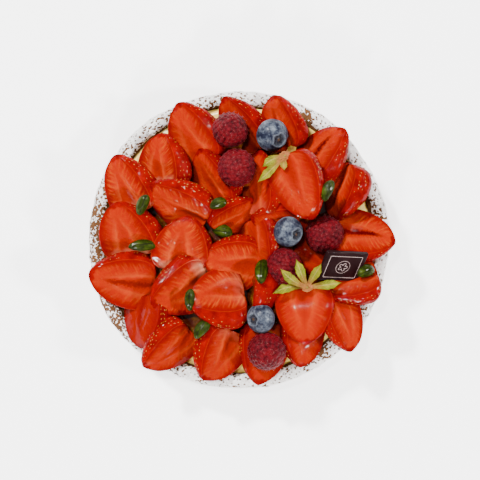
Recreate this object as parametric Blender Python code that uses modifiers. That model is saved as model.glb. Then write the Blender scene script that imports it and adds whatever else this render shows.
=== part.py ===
"""Strawberry tart: a baked shell of cream under halved strawberries, raspberries, blueberries and nuts.

Lengths are in millimetres until make_object turns them into metres. The fruit is laid piece by piece:
each piece keeps its place and heading, and is lowered until it rests a small gap above what lies below.
"""

import math
import random

import bmesh
import bpy
import numpy as np
from mathutils import Matrix, Vector
from mathutils.bvhtree import BVHTree

MM = 0.001

# Driving dimensions, in millimetres.
TART_RADIUS = 90.0
RIM_HEIGHT = 28.0
RIM_WIDTH = 8.6
CREAM_LEVEL = 22.0
FLOOR_THICKNESS = 4.5
SHELL_GAP = 0.3
REST_GAP = 0.3
PRESS_GAP = 0.3
CELL = 0.5
FIELD_HALF = 106.0

SHELL_STEPS = 48
BERRY_SIDES = 12
BERRY_RINGS = 7
SHOULDER = 0.3

# The share of a piece's volume that may press into the fruit below it.
LOWER_SINK = 0.22
UPPER_SINK = 0.32
WHOLE_SINK = 0.11
NUT_SINK = 0.14

# Halved strawberries: name, x, y, heading of the tip, lift of the tip, roll that raises the left side,
# length, width, depth of the half. Headings and tilts are in degrees. They are laid in this order.
LOWER_HALVES = [
    ("halfrim06", -56.5, -47.5, 264, 0, 38, 34.0, 33.0, 15.0),
    ("halfrim07", -40.5, -64.0, 221, 6, -38, 37.0, 33.0, 15.0),
    ("halfrim08", -10.5, -67.5, 243, 8, -32, 36.0, 37.0, 15.5),
    ("halfrim09", 14.5, -66.5, 267, 2, -8, 38.5, 32.0, 14.0),
    ("halfrim10", 38.5, -60.5, 268, -4, -20, 31.0, 28.0, 13.0),
    ("halfrim11", 63.0, -49.5, 287, 6, -26, 33.0, 28.0, 13.0),
    ("halfrim12", 67.0, -25.0, 198, 0, 30, 35.0, 31.0, 14.0),
    ("halfrim13", 74.0, 1.6, 352, 6, -22, 38.0, 34.0, 14.5),
    ("halfrim14", 60.5, 29.0, 256, -4, 54, 37.0, 33.0, 15.5),
    ("halfrim15", 49.0, 52.5, 52, 8, -40, 38.0, 34.0, 15.5),
    ("halfrim16", 24.5, 68.5, 108, 8, -30, 35.0, 30.0, 14.0),
    ("halfrim17", 2.0, 67.5, 124, 4, -32, 40.0, 29.0, 14.0),
    ("halfrim01", -27.0, 61.5, 122, 6, -28, 42.0, 36.0, 15.5),
    ("halfrim02", -45.0, 46.0, 92, 10, -32, 34.0, 36.5, 15.5),
    ("halfrim03", -65.5, 31.5, 116, 6, -32, 39.0, 35.0, 15.5),
    ("halfrim04", -65.5, 4.5, 112, 20, -26, 37.0, 41.0, 16.0),
    ("halfrim05", -67.5, -23.5, 172, 10, -20, 41.0, 37.0, 15.5),
    ("halfmid30", 37.5, 9.5, 80, 0, 12, 29.0, 25.0, 10.0),
    ("halfmid31", 43.0, -11.5, 320, 0, -6, 27.0, 25.0, 10.0),
    ("halfmid29", 23.0, -28.0, 268, 0, -6, 27.0, 25.0, 10.0),
]
UPPER_HALVES = [
    ("halfmid27", 22.5, 11.5, 184, 0, -40, 30.0, 24.0, 11.5),
    ("halfmid26", 11.5, 33.0, 88, 0, -34, 40.0, 30.0, 13.0),
    ("halfmid18", -16.0, 36.0, 118, 2, -38, 38.0, 32.0, 14.0),
    ("halfmid19", -34.5, 20.5, 150, 0, -32, 41.0, 34.0, 14.5),
    ("halfmid24", -3.5, 13.5, 34, 0, 42, 32.0, 27.0, 12.5),
    ("halfmid25", 12.0, -1.5, 282, 0, 42, 32.0, 27.0, 12.5),
    ("halfmid20", -31.5, -3.5, 88, 20, -4, 35.0, 38.0, 15.0),
    ("halfmid23", -3.0, -12.0, 172, 6, -10, 35.0, 34.5, 15.0),
    ("halfmid21", -32.5, -28.5, 213, 8, -24, 41.0, 38.0, 15.5),
    ("halfmid28", 13.0, -30.0, 258, 4, 118, 31.0, 28.0, 13.0),
    ("halfmid22", -10.5, -34.5, 186, 18, 22, 36.0, 38.0, 15.5),
]
LEAFED_HALVES = [
    ("halftop1", 34.5, 31.5, 293, -4, 28, 43.0, 34.5, 14.5),
    ("halftop2", 40.6, -42.5, 272, -4, 3, 37.0, 36.5, 14.0),
]
# Raspberries: name, x, y, width, height.
RASPBERRIES = [
    ("raspberry1", -4.2, 64.5, 22.5, 22.0),
    ("raspberry2", -0.3, 42.0, 24.5, 23.0),
    ("raspberry3", 51.3, 3.6, 25.5, 23.0),
    ("raspberry4", 27.4, -15.5, 24.5, 22.0),
    ("raspberry5", 16.6, -65.0, 25.0, 22.0),
]
# Blueberries: name, x, y, width, then the heading and lift of the crown.
BLUEBERRIES = [
    ("blueberry1", 19.8, 61.4, 20.5, -30, 52),
    ("blueberry2", 29.2, 4.8, 18.8, -22, 48),
    ("blueberry3", 13.2, -46.0, 18.2, 175, 45),
]
# Pistachio kernels: name, x, y, heading, length, width.
PISTACHIOS = [
    ("pistachio1", -55.5, 20.4, 86, 13.8, 7.2),
    ("pistachio2", -11.8, 21.2, 10, 10.5, 6.8),
    ("pistachio3", -9.4, 5.3, 4, 13.0, 8.2),
    ("pistachio4", -56.2, -3.0, -5, 16.0, 7.6),
    ("pistachio5", -28.0, -34.6, 76, 13.2, 6.6),
    ("pistachio6", -21.2, -51.8, 60, 12.8, 8.2),
    ("pistachio7", 13.6, -18.4, -72, 17.0, 8.4),
    ("pistachio8", 51.4, 28.5, 66, 12.8, 6.8),
    ("pistachio9", 74.6, -18.0, 18, 11.5, 7.0),
]
# Leaves of the two leafed halves: heading, length, width.
LEAVES = {
    "calyx1": [(40, 9.5, 6.0), (268, 8.5, 5.0), (205, 14.5, 6.5), (224, 22.0, 6.0)],
    "calyx2": [(112, 18.0, 6.5), (145, 19.5, 6.5), (190, 20.5, 6.5), (62, 16.0, 6.0), (8, 20.5, 6.5)],
}
CALYX_AT = {"calyx1": (26.8, 48.4), "calyx2": (40.0, -27.6)}


def clear_scene():
    """Removes the objects the file opens with."""
    for obj in list(bpy.data.objects):
        bpy.data.objects.remove(obj, do_unlink=True)


def material(name, colour, roughness):
    """A Principled material of one colour."""
    mat = bpy.data.materials.new(name)
    mat.use_nodes = True
    shader = mat.node_tree.nodes["Principled BSDF"]
    shader.inputs["Base Color"].default_value = (*colour, 1.0)
    shader.inputs["Roughness"].default_value = roughness
    mat.diffuse_color = (*colour, 1.0)
    return mat


def rotation(heading, lift, roll):
    """The matrix that points +X to the heading, lifts it, and raises the +Y side by the roll."""
    turn = Matrix.Rotation(math.radians(heading), 3, "Z")
    raise_tip = Matrix.Rotation(-math.radians(lift), 3, "Y")
    lean = Matrix.Rotation(math.radians(roll), 3, "X")
    return np.array(turn @ raise_tip @ lean)


def mesh_arrays(bm):
    """Vertices and triangles of a bmesh, as arrays in millimetres."""
    bmesh.ops.triangulate(bm, faces=bm.faces[:])
    bm.verts.ensure_lookup_table()
    verts = np.array([v.co[:] for v in bm.verts])
    tris = np.array([[v.index for v in f.verts] for f in bm.faces])
    return verts, tris


def facing_out(bm):
    """Turns the faces of a closed mesh outward."""
    bmesh.ops.recalc_face_normals(bm, faces=bm.faces[:])
    if bm.calc_volume(signed=True) < 0:
        bmesh.ops.reverse_faces(bm, faces=bm.faces[:])
    bm.normal_update()


def make_object(name, verts, tris, mat, collection, scale=MM):
    """Adds one closed mesh to the collection, in metres unless another scale is given."""
    bm = bmesh.new()
    made = [bm.verts.new(v) for v in verts]
    for tri in tris:
        bm.faces.new([made[k] for k in tri])
    facing_out(bm)
    bmesh.ops.scale(bm, verts=bm.verts[:], vec=(scale, scale, scale))
    mesh = bpy.data.meshes.new(name)
    bm.to_mesh(mesh)
    bm.free()
    mesh.materials.append(mat)
    obj = bpy.data.objects.new(name, mesh)
    collection.objects.link(obj)
    return obj


class Terrain:
    """The height of the highest surface laid so far, on a square grid of cells."""

    def __init__(self):
        self.count = int(2 * FIELD_HALF / CELL)
        self.hard = np.zeros((self.count, self.count))
        self.top = self.hard.copy()

    def cells(self, points):
        index = ((points[:, :2] + FIELD_HALF) / CELL).astype(int)
        return np.clip(index, 1, self.count - 2)

    def add(self, points, hard=False):
        index = self.cells(points)
        np.maximum.at(self.top, (index[:, 0], index[:, 1]), points[:, 2])
        if hard:
            for dx in (-1, 0, 1):
                for dy in (-1, 0, 1):
                    np.maximum.at(self.hard, (index[:, 0] + dx, index[:, 1] + dy), points[:, 2])

    def rest_height(self, points, sink):
        """How far a piece is raised to lie on the pastry and cream, pressed a little into the fruit.

        The sink is the share of its volume that may press into the fruit below it. Its own upper
        surface still shows over nearly all of its outline.
        """
        index = self.cells(points)
        flat = index[:, 0] * self.count + index[:, 1]
        clear = float(np.max(self.hard[index[:, 0], index[:, 1]] - points[:, 2])) + REST_GAP
        order = np.argsort(flat, kind="stable")
        flat, heights = flat[order], points[order, 2]
        starts = np.flatnonzero(np.concatenate([[True], flat[1:] != flat[:-1]]))
        low = np.minimum.reduceat(heights, starts)
        high = np.maximum.reduceat(heights, starts)
        below = self.top.ravel()[flat[starts]]
        shown = float(np.quantile(below - high, 0.97))
        whole = float(np.sum(high - low))
        near, far = shown, float(np.max(below - low))
        near = min(near, far)
        for _ in range(14):
            middle = (near + far) / 2
            pressed = float(np.sum(np.clip(below - low - middle, 0.0, high - low)))
            if pressed > sink * whole:
                near = middle
            else:
                far = middle
        return max(clear, shown, far)

    def highest(self, x, y, reach):
        """The highest point within a reach of a place."""
        low = self.cells(np.array([[x - reach, y - reach]]))[0]
        high = self.cells(np.array([[x + reach, y + reach]]))[0]
        return float(self.top[low[0] : high[0] + 1, low[1] : high[1] + 1].max())

    def slope(self, x, y, reach):
        """The least-squares slope of the surface around a place, as rises per millimetre in x and y."""
        low = self.cells(np.array([[x - reach, y - reach]]))[0]
        high = self.cells(np.array([[x + reach, y + reach]]))[0]
        patch = self.top[low[0] : high[0] + 1, low[1] : high[1] + 1]
        gx, gy = np.meshgrid(np.arange(patch.shape[0]), np.arange(patch.shape[1]), indexing="ij")
        basis = np.stack([gx.ravel() * CELL, gy.ravel() * CELL, np.ones(patch.size)], axis=1)
        fit = np.linalg.lstsq(basis, patch.ravel(), rcond=None)[0]
        return float(np.clip(fit[0], -0.9, 0.9)), float(np.clip(fit[1], -0.9, 0.9))


def surface_points(verts, tris, spacing):
    """Points spread over the triangles, no further apart than the spacing."""
    found = [verts]
    for tri in tris:
        a, b, c = verts[tri[0]], verts[tri[1]], verts[tri[2]]
        longest = max(np.linalg.norm(b - a), np.linalg.norm(c - b), np.linalg.norm(a - c))
        steps = max(1, int(math.ceil(longest / spacing)))
        i, j = np.meshgrid(np.arange(steps + 1), np.arange(steps + 1))
        keep = (i + j) <= steps
        u = (i[keep] / steps)[:, None]
        v = (j[keep] / steps)[:, None]
        found.append(a + (b - a) * u + (c - a) * v)
    return np.concatenate(found)


def shell_wobble(x, y):
    """The uneven radius and height of the hand-pressed rim, from the angle around it."""
    angle = math.atan2(y, x)
    out = 0.7 * math.sin(2 * angle + 0.9) + 0.45 * math.sin(5 * angle + 2.0) + 0.3 * math.sin(9 * angle)
    out += 1.6 * math.exp(-(((angle + 0.75) / 0.35) ** 2))
    up = 0.35 * math.sin(3 * angle + 1.1) + 0.25 * math.sin(7 * angle + 0.4)
    return out, up


def turned(profile, steps):
    """A closed solid turned about Z from a profile that starts and ends on the axis."""
    mesh = bpy.data.meshes.new("profile")
    mesh.from_pydata([(r, 0.0, z) for r, z in profile], [(i, i + 1) for i in range(len(profile) - 1)], [])
    obj = bpy.data.objects.new("profile", mesh)
    bpy.context.scene.collection.objects.link(obj)
    screw = obj.modifiers.new("turn", "SCREW")
    screw.steps = steps
    screw.render_steps = steps
    screw.use_merge_vertices = True
    screw.merge_threshold = 0.0001
    bpy.context.view_layer.update()
    shaped = obj.evaluated_get(bpy.context.evaluated_depsgraph_get())
    bm = bmesh.new()
    bm.from_mesh(shaped.to_mesh())
    bmesh.ops.remove_doubles(bm, verts=bm.verts[:], dist=0.0001)
    verts, tris = mesh_arrays(bm)
    bm.free()
    bpy.data.objects.remove(obj, do_unlink=True)
    return verts, tris


def crust():
    """The pastry shell: a floor and a wall with a rounded, uneven rim."""
    inner = TART_RADIUS - RIM_WIDTH
    profile = [
        (0.0, FLOOR_THICKNESS),
        (inner - 6.5, FLOOR_THICKNESS),
        (inner - 3.4, FLOOR_THICKNESS + 2.0),
        (inner - 2.4, 13.0),
        (inner - 1.2, CREAM_LEVEL),
        (inner + 0.6, RIM_HEIGHT - 1.6),
        (inner + 2.6, RIM_HEIGHT - 0.2),
        (TART_RADIUS - 3.6, RIM_HEIGHT),
        (TART_RADIUS - 1.2, RIM_HEIGHT - 1.2),
        (TART_RADIUS - 0.2, RIM_HEIGHT - 3.6),
        (TART_RADIUS - 1.4, 14.0),
        (TART_RADIUS - 2.9, 2.4),
        (TART_RADIUS - 4.6, 0.0),
        (0.0, 0.0),
    ]
    verts, tris = turned(profile, SHELL_STEPS)
    for v in verts:
        radius = math.hypot(v[0], v[1])
        if radius < inner - 0.2:
            continue
        out, up = shell_wobble(v[0], v[1])
        share = max(0.0, min(1.0, v[2] / RIM_HEIGHT))
        v[0] *= 1 + out * share / radius
        v[1] *= 1 + out * share / radius
        v[2] += up * max(0.0, (v[2] - 14.0) / 14.0)
    return verts, tris


def cream():
    """The cream that fills the shell, a little higher in the middle."""
    inner = TART_RADIUS - RIM_WIDTH
    low = FLOOR_THICKNESS + SHELL_GAP
    profile = [
        (0.0, CREAM_LEVEL + 1.6),
        (30.0, CREAM_LEVEL + 1.4),
        (58.0, CREAM_LEVEL + 0.6),
        (inner - 5.5, CREAM_LEVEL - 0.2),
        (inner - 2.0, CREAM_LEVEL - 1.0),
        (inner - 3.0, 13.0),
        (inner - 4.0, FLOOR_THICKNESS + 2.4),
        (inner - 6.8, low),
        (0.0, low),
    ]
    verts, tris = turned(profile, SHELL_STEPS)
    for v in verts:
        if v[2] > CREAM_LEVEL - 0.5:
            v[2] += 0.35 * math.sin(v[0] * 0.11 + 1.0) * math.cos(v[1] * 0.09)
    return verts, tris


def berry_radius(x):
    """The half-width of a strawberry, as a share of its greatest, from the hull at 0 to the tip at 1."""
    if x < SHOULDER:
        return math.sqrt(max(0.0, 1 - ((SHOULDER - x) / SHOULDER) ** 2)) ** 0.9
    s = (x - SHOULDER) / (1 - SHOULDER)
    return max(0.0, 1 - s**1.7) ** 0.7


def strawberry_half(length, width, depth, seed):
    """Half a strawberry, cut face up on z = 0, its tip towards +X and its hulled end dented."""
    chance = random.Random(seed)
    lean = chance.uniform(-0.08, 0.08)
    lobe = chance.uniform(0.0, 6.28)
    dent = chance.uniform(0.15, 0.23)
    bm = bmesh.new()
    bmesh.ops.create_uvsphere(bm, u_segments=BERRY_SIDES, v_segments=BERRY_RINGS, radius=1.0)
    for v in bm.verts:
        along = min(1.0, max(0.0, 0.5 + 0.5 * v.co.z))
        turn = math.atan2(v.co.x, v.co.y)
        share = berry_radius(along) if 0.001 < along < 0.999 else 0.0
        uneven = 1 + 0.035 * math.sin(2 * turn + lobe) + 0.025 * math.sin(3 * turn - lobe)
        across = share * uneven * width / 2
        hollow = dent * max(0.0, 1 - share * 1.3) if along < SHOULDER else 0.0
        x = (along + hollow - 0.5) * length
        y = across * math.sin(turn) + lean * length * (along - 0.3) ** 2
        z = across * math.cos(turn) * 2 * depth / width
        v.co = Vector((x, y, z if abs(z) > 0.01 else 0.0))
    whole = bm.verts[:] + bm.edges[:] + bm.faces[:]
    plane = {"plane_co": (0, 0, 0), "plane_no": (0, 0, 1)}
    cut = bmesh.ops.bisect_plane(bm, geom=whole, dist=0.001, clear_outer=True, **plane)
    rim = [e for e in cut["geom_cut"] if isinstance(e, bmesh.types.BMEdge)]
    bmesh.ops.holes_fill(bm, edges=rim, sides=0)
    bmesh.ops.recalc_face_normals(bm, faces=bm.faces[:])
    verts, tris = mesh_arrays(bm)
    bm.free()
    return verts, tris


def rounded(length, width, height, sides, rings, shape):
    """A closed sphere-like solid, its long axis along X, shaped by a function of each vertex."""
    bm = bmesh.new()
    bmesh.ops.create_uvsphere(bm, u_segments=sides, v_segments=rings, radius=0.5)
    bmesh.ops.rotate(bm, verts=bm.verts[:], matrix=Matrix.Rotation(math.pi / 2, 3, "Y"))
    for v in bm.verts:
        x, y, z = shape(v.co.x * 2, v.co.y * 2, v.co.z * 2)
        v.co = Vector((x * length / 2, y * width / 2, z * height / 2))
    verts, tris = mesh_arrays(bm)
    bm.free()
    return verts, tris


def raspberry(across, height, seed):
    """A raspberry: a rounded cone, lumpy where its drupelets are."""
    lobe = random.Random(seed).uniform(0.0, 6.28)

    def shape(x, y, z):
        lump = 1 + 0.03 * math.sin(5 * math.atan2(y, z) + lobe) * (1 - x * x)
        taper = 1 - 0.12 * (x + 1) / 2
        return x, y * lump * taper, z * lump * taper

    return rounded(height, across, across, 10, 8, shape)


def blueberry(x, y, z):
    """A slightly flattened ball, dented at its crown."""
    dented = x - 0.12 if x > 0.95 else x
    return dented, y, z


def pistachio(x, y, z):
    """A kernel: pointed at one end and fuller at the other, flatter below."""
    girth = 1 - 0.16 * x
    return x, y * girth, z * girth * (0.8 if z < 0 else 1.0)


def settle(terrain, verts, tris, place, angles, freedom, sink):
    """Lays a piece, trying small changes of tilt, and keeps the one that lets it lie lowest."""
    coarse = surface_points(verts, tris, 0.8)
    heading, lift, roll = angles
    spot = np.array([place[0], place[1], 0.0])
    best = None
    for dl in freedom:
        for dr in freedom:
            turn = rotation(heading, lift + dl, roll + dr)
            height = terrain.rest_height(coarse @ turn.T + spot, sink)
            cost = height + 0.02 * (dl * dl + dr * dr)
            if best is None or cost < best[0]:
                best = (cost, turn)
    return lay(terrain, verts, tris, best[1], spot, sink)


def lay(terrain, verts, tris, turn, spot, sink):
    """Lowers a turned piece to its rest and adds it to the terrain."""
    fine = surface_points(verts, tris, CELL * 0.7) @ turn.T + spot
    height = terrain.rest_height(fine, sink)
    terrain.add(fine + [0.0, 0.0, height])
    return verts @ turn.T + spot + [0.0, 0.0, height]


def rest_on_slope(terrain, verts, tris, place, heading, reach, sink):
    """Lays a small piece along the slope of what is under it."""
    sx, sy = terrain.slope(place[0], place[1], reach)
    up = Vector((-sx, -sy, 1.0)).normalized()
    ahead = Vector((math.cos(math.radians(heading)), math.sin(math.radians(heading)), 0.0))
    side = up.cross(ahead).normalized()
    ahead = side.cross(up)
    turn = np.array([ahead[:], side[:], up[:]]).T
    return lay(terrain, verts, tris, turn, np.array([place[0], place[1], 0.0]), sink)


def bmesh_of(verts, tris):
    """A bmesh with its normals out."""
    bm = bmesh.new()
    made = [bm.verts.new(v) for v in verts]
    for tri in tris:
        bm.faces.new([made[k] for k in tri])
    facing_out(bm)
    return bm


def grown(verts, tris, gap):
    """The same solid with every face moved out by the gap."""
    bm = bmesh_of(verts, tris)
    moves = [v.normal * (gap * min(2.5, v.calc_shell_factor())) for v in bm.verts]
    for v, move in zip(bm.verts, moves):
        v.co += move
    out, faces = mesh_arrays(bm)
    bm.free()
    return out, faces


def largest_body(bm):
    """Removes every loose body but the largest."""
    left = set(bm.faces)
    bodies = []
    for first in bm.faces:
        if first not in left:
            continue
        left.remove(first)
        stack, body = [first], [first]
        while stack:
            for edge in stack.pop().edges:
                for face in edge.link_faces:
                    if face in left:
                        left.remove(face)
                        stack.append(face)
                        body.append(face)
        bodies.append(body)
    bodies.sort(key=lambda body: sum(f.calc_area() for f in body))
    spare = [face for body in bodies[:-1] for face in body]
    bmesh.ops.delete(bm, geom=spare, context="FACES")
    loose = [v for v in bm.verts if not v.link_faces]
    bmesh.ops.delete(bm, geom=loose, context="VERTS")


def tidied(bm, level):
    """A solid's vertices, triangles and volume after cleaning, with no volume if it isn't one closed body."""
    if level < 2:
        bmesh.ops.dissolve_degenerate(bm, edges=bm.edges[:], dist=0.01)
    if level < 1:
        bmesh.ops.dissolve_limit(bm, angle_limit=0.02, verts=bm.verts[:], edges=bm.edges[:])
    if not bm.faces:
        return None
    largest_body(bm)
    out, found = mesh_arrays(bm)
    counts = np.unique(np.sort(found, axis=1), axis=0, return_counts=True)[1]
    if counts.max() > 1 or not all(e.is_manifold for e in bm.edges):
        return None
    return out, found, bm.calc_volume()


def less(verts, tris, big, faces, mat, cutters, careful):
    """A solid with one cutter taken out of it, its largest body kept."""
    obj = make_object("whole", verts, tris, mat, cutters, 1.0)
    cutter = make_object("cutter", big, faces, mat, cutters, 1.0)
    cut = obj.modifiers.new("less", "BOOLEAN")
    cut.operation = "DIFFERENCE"
    cut.solver = "EXACT"
    cut.use_self = careful
    cut.object = cutter
    bpy.context.view_layer.update()
    shaped = obj.evaluated_get(bpy.context.evaluated_depsgraph_get())
    made = bmesh.new()
    made.from_mesh(shaped.to_mesh())
    bpy.data.objects.remove(obj, do_unlink=True)
    bpy.data.objects.remove(cutter, do_unlink=True)
    for level in (0, 1, 2):
        bm = made.copy()
        result = tidied(bm, level)
        bm.free()
        if result:
            break
    made.free()
    return result if result else (verts, tris, 0.0)


def carved(verts, tris, uppers, mat, cutters):
    """The lower piece, hollowed by the gap where the pieces lying on it press in."""
    bm = bmesh_of(verts, tris)
    volume = bm.calc_volume()
    bm.free()
    for upper_verts, upper_tris in uppers:
        if np.any(upper_verts.min(0) - 1 > verts.max(0)) or np.any(upper_verts.max(0) + 1 < verts.min(0)):
            continue
        for extra, careful in ((0.0, False), (0.0, True), (0.04, False), (0.09, True), (0.15, True)):
            big, faces = grown(upper_verts, upper_tris, PRESS_GAP + extra)
            own = BVHTree.FromPolygons(verts.tolist(), tris.tolist())
            if not own.overlap(BVHTree.FromPolygons(big.tolist(), faces.tolist())):
                break
            out, found, left = less(verts, tris, big, faces, mat, cutters, careful)
            if 0.4 * volume < left < 1.001 * volume:
                verts, tris, volume = out, found, left
                break
    return verts, tris


def leaf(terrain, centre, heading, length, width, base):
    """A leaf blade that lies over what is under it and tapers to a point."""
    ahead = Vector((math.cos(math.radians(heading)), math.sin(math.radians(heading)), 0.0))
    side = Vector((-ahead.y, ahead.x, 0.0))
    stations = 6
    heights = []
    for i in range(stations + 1):
        spot = centre + ahead * (length * i / stations)
        heights.append(terrain.highest(spot.x, spot.y, length / stations * 0.55 + 0.8) + 0.3)
    for i in range(1, stations + 1):
        heights[i] = max(heights[i], heights[i - 1] - 1.6)
    for i in range(stations - 1, -1, -1):
        heights[i] = max(heights[i], heights[i + 1] - 3.4)
    heights[0] = max(heights[0], base)
    bm = bmesh.new()
    rows = []
    for i in range(stations):
        t = i / stations
        half = width / 2 * (0.62 + 1.5 * t * (1 - t)) * (1 - t**2.5)
        thick = 1.1 - 0.5 * t
        spot = centre + ahead * (length * t)
        row = []
        for across, up in ((1, 0.25), (0, thick), (-1, 0.25), (0, 0.0)):
            place = spot + side * (half * across)
            row.append(bm.verts.new((place.x, place.y, heights[i] + up)))
        rows.append(row)
    end = centre + ahead * length
    tip = bm.verts.new((end.x, end.y, heights[stations] + 0.3))
    for first, second in zip(rows, rows[1:]):
        for k in range(4):
            bm.faces.new((first[k], first[(k + 1) % 4], second[(k + 1) % 4], second[k]))
    for k in range(4):
        bm.faces.new((rows[-1][k], rows[-1][(k + 1) % 4], tip))
    bm.faces.new(rows[0])
    bmesh.ops.recalc_face_normals(bm, faces=bm.faces[:])
    verts, tris = mesh_arrays(bm)
    bm.free()
    return verts, tris, heights[0]


def calyx(name, terrain, mat, collection, cutters):
    """The leaves of one strawberry, joined at the hull."""
    x, y = CALYX_AT[name]
    centre = Vector((x, y, 0.0))
    base = terrain.highest(x, y, 3.2) + 0.3
    base = max(leaf(terrain, centre, *blade, base)[2] for blade in LEAVES[name])
    blades = [leaf(terrain, centre, *blade, base) for blade in LEAVES[name]]
    hub, hub_tris = rounded(7.0, 6.4, 3.4, 8, 6, lambda a, b, c: (a, b, c))
    hub = hub + [x, y, base + 1.7]
    hub_object = make_object(name, hub, hub_tris, mat, collection)
    for count, (verts, tris, _) in enumerate(blades):
        cutter = make_object(f"{name}_leaf{count}", verts, tris, mat, cutters)
        cutter.hide_render = True
        cutter.display_type = "WIRE"
        join = hub_object.modifiers.new(f"leaf{count}", "BOOLEAN")
        join.operation = "UNION"
        join.solver = "EXACT"
        join.object = cutter
    spread = [surface_points(verts, tris, CELL * 0.7) for verts, tris, _ in blades]
    terrain.add(np.concatenate([*spread, surface_points(hub, hub_tris, CELL * 0.7)]))


def plaque():
    """A small tilted plate of chocolate with softened edges."""
    bm = bmesh.new()
    bmesh.ops.create_cube(bm, size=1.0)
    for v in bm.verts:
        v.co = Vector((v.co.x * 27.0, v.co.y * 20.5, v.co.z * 2.6))
    bmesh.ops.bevel(bm, geom=bm.edges[:], offset=0.35, segments=1, affect="EDGES")
    verts, tris = mesh_arrays(bm)
    bm.free()
    return verts, tris


def main():
    clear_scene()
    parts = bpy.data.collections.new("strawberry_tart")
    cutters = bpy.data.collections.new("cutters")
    bpy.context.scene.collection.children.link(parts)
    bpy.context.scene.collection.children.link(cutters)
    pastry = material("pastry", (0.42, 0.19, 0.07), 0.75)
    custard = material("cream", (0.88, 0.70, 0.38), 0.5)
    fruit = material("strawberry", (0.80, 0.05, 0.02), 0.3)
    red = material("raspberry", (0.27, 0.02, 0.04), 0.5)
    blue = material("blueberry", (0.12, 0.16, 0.26), 0.6)
    green = material("pistachio", (0.14, 0.17, 0.03), 0.5)
    leafy = material("leaf", (0.40, 0.42, 0.10), 0.6)
    dark = material("chocolate", (0.07, 0.03, 0.03), 0.4)

    terrain = Terrain()
    verts, tris = crust()
    make_object("crust", verts, tris, pastry, parts)
    terrain.add(surface_points(verts, tris, CELL * 0.9), hard=True)
    verts, tris = cream()
    make_object("cream", verts, tris, custard, parts)
    terrain.add(surface_points(verts, tris, CELL * 0.9), hard=True)

    laid = []
    freedom = (-10, -5, 0, 5, 10)

    def lay_halves(rows, sink):
        for name, x, y, heading, lift, roll, length, width, depth in rows:
            verts, tris = strawberry_half(length, width, depth, name)
            placed = settle(terrain, verts, tris, (x, y), (heading, lift, roll), freedom, sink)
            laid.append((name, placed, tris, fruit))

    def lay_raspberry(number):
        name, x, y, across, height = RASPBERRIES[number - 1]
        verts, tris = raspberry(across, height, name)
        placed = settle(terrain, verts, tris, (x, y), (40, 62, 0), (0,), WHOLE_SINK)
        laid.append((name, placed, tris, red))

    def lay_blueberry(number):
        name, x, y, across, heading, lift = BLUEBERRIES[number - 1]
        verts, tris = rounded(across * 0.92, across, across, 10, 7, blueberry)
        placed = settle(terrain, verts, tris, (x, y), (heading, lift, 0), (0,), WHOLE_SINK)
        laid.append((name, placed, tris, blue))

    lay_halves(LOWER_HALVES, LOWER_SINK)
    lay_halves(UPPER_HALVES, UPPER_SINK)
    lay_raspberry(1)
    lay_raspberry(2)
    lay_blueberry(1)
    lay_halves(LEAFED_HALVES[:1], UPPER_SINK)
    lay_raspberry(3)
    lay_raspberry(4)
    lay_blueberry(2)
    lay_halves(LEAFED_HALVES[1:], UPPER_SINK)
    lay_blueberry(3)
    lay_raspberry(5)
    verts, tris = plaque()
    placed = settle(terrain, verts, tris, (60.3, -15.0), (-3, -24, 36), (0,), 0.02)
    laid.append(("plaque", placed, tris, dark))
    for name, x, y, heading, length, width in PISTACHIOS:
        verts, tris = rounded(length, width, width * 0.85, 8, 6, pistachio)
        placed = rest_on_slope(terrain, verts, tris, (x, y), heading, length * 0.3, NUT_SINK)
        laid.append((name, placed, tris, green))

    for place, (name, verts, tris, mat) in enumerate(laid):
        uppers = [piece[1:3] for piece in laid[place + 1 :]]
        shaped, faces = carved(verts, tris, uppers, mat, cutters)
        make_object(name, shaped, faces, mat, parts)
    calyx("calyx1", terrain, leafy, parts, cutters)
    calyx("calyx2", terrain, leafy, parts, cutters)


main()
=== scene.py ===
"""Strawberry tart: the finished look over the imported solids, in the row frame."""

import math
import random

import bmesh
import bpy
import numpy as np
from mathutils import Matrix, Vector
from mathutils.bvhtree import BVHTree


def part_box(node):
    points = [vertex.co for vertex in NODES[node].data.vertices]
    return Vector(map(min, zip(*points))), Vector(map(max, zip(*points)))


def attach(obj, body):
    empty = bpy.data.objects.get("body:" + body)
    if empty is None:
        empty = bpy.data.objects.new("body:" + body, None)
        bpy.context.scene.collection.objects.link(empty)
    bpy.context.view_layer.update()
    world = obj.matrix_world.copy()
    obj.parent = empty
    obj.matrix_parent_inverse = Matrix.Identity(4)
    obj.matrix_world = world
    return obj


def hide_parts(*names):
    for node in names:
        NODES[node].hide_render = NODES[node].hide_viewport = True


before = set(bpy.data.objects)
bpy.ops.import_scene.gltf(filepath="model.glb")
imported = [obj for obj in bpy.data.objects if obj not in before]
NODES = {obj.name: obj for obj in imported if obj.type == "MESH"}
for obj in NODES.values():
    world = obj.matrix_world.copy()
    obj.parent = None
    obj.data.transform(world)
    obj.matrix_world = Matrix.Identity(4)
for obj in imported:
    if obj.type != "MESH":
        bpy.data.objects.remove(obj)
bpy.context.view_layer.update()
MM = 0.001

# ---------------------------------------------------------------- numbers shared with the solids
TART_RADIUS = 90.0
RIM_HEIGHT = 28.0
RIM_WIDTH = 8.6
CREAM_LEVEL = 22.0
FLOOR_THICKNESS = 4.5
SHOULDER = 0.3
BERRY_SIDES = 12
BERRY_RINGS = 7

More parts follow.
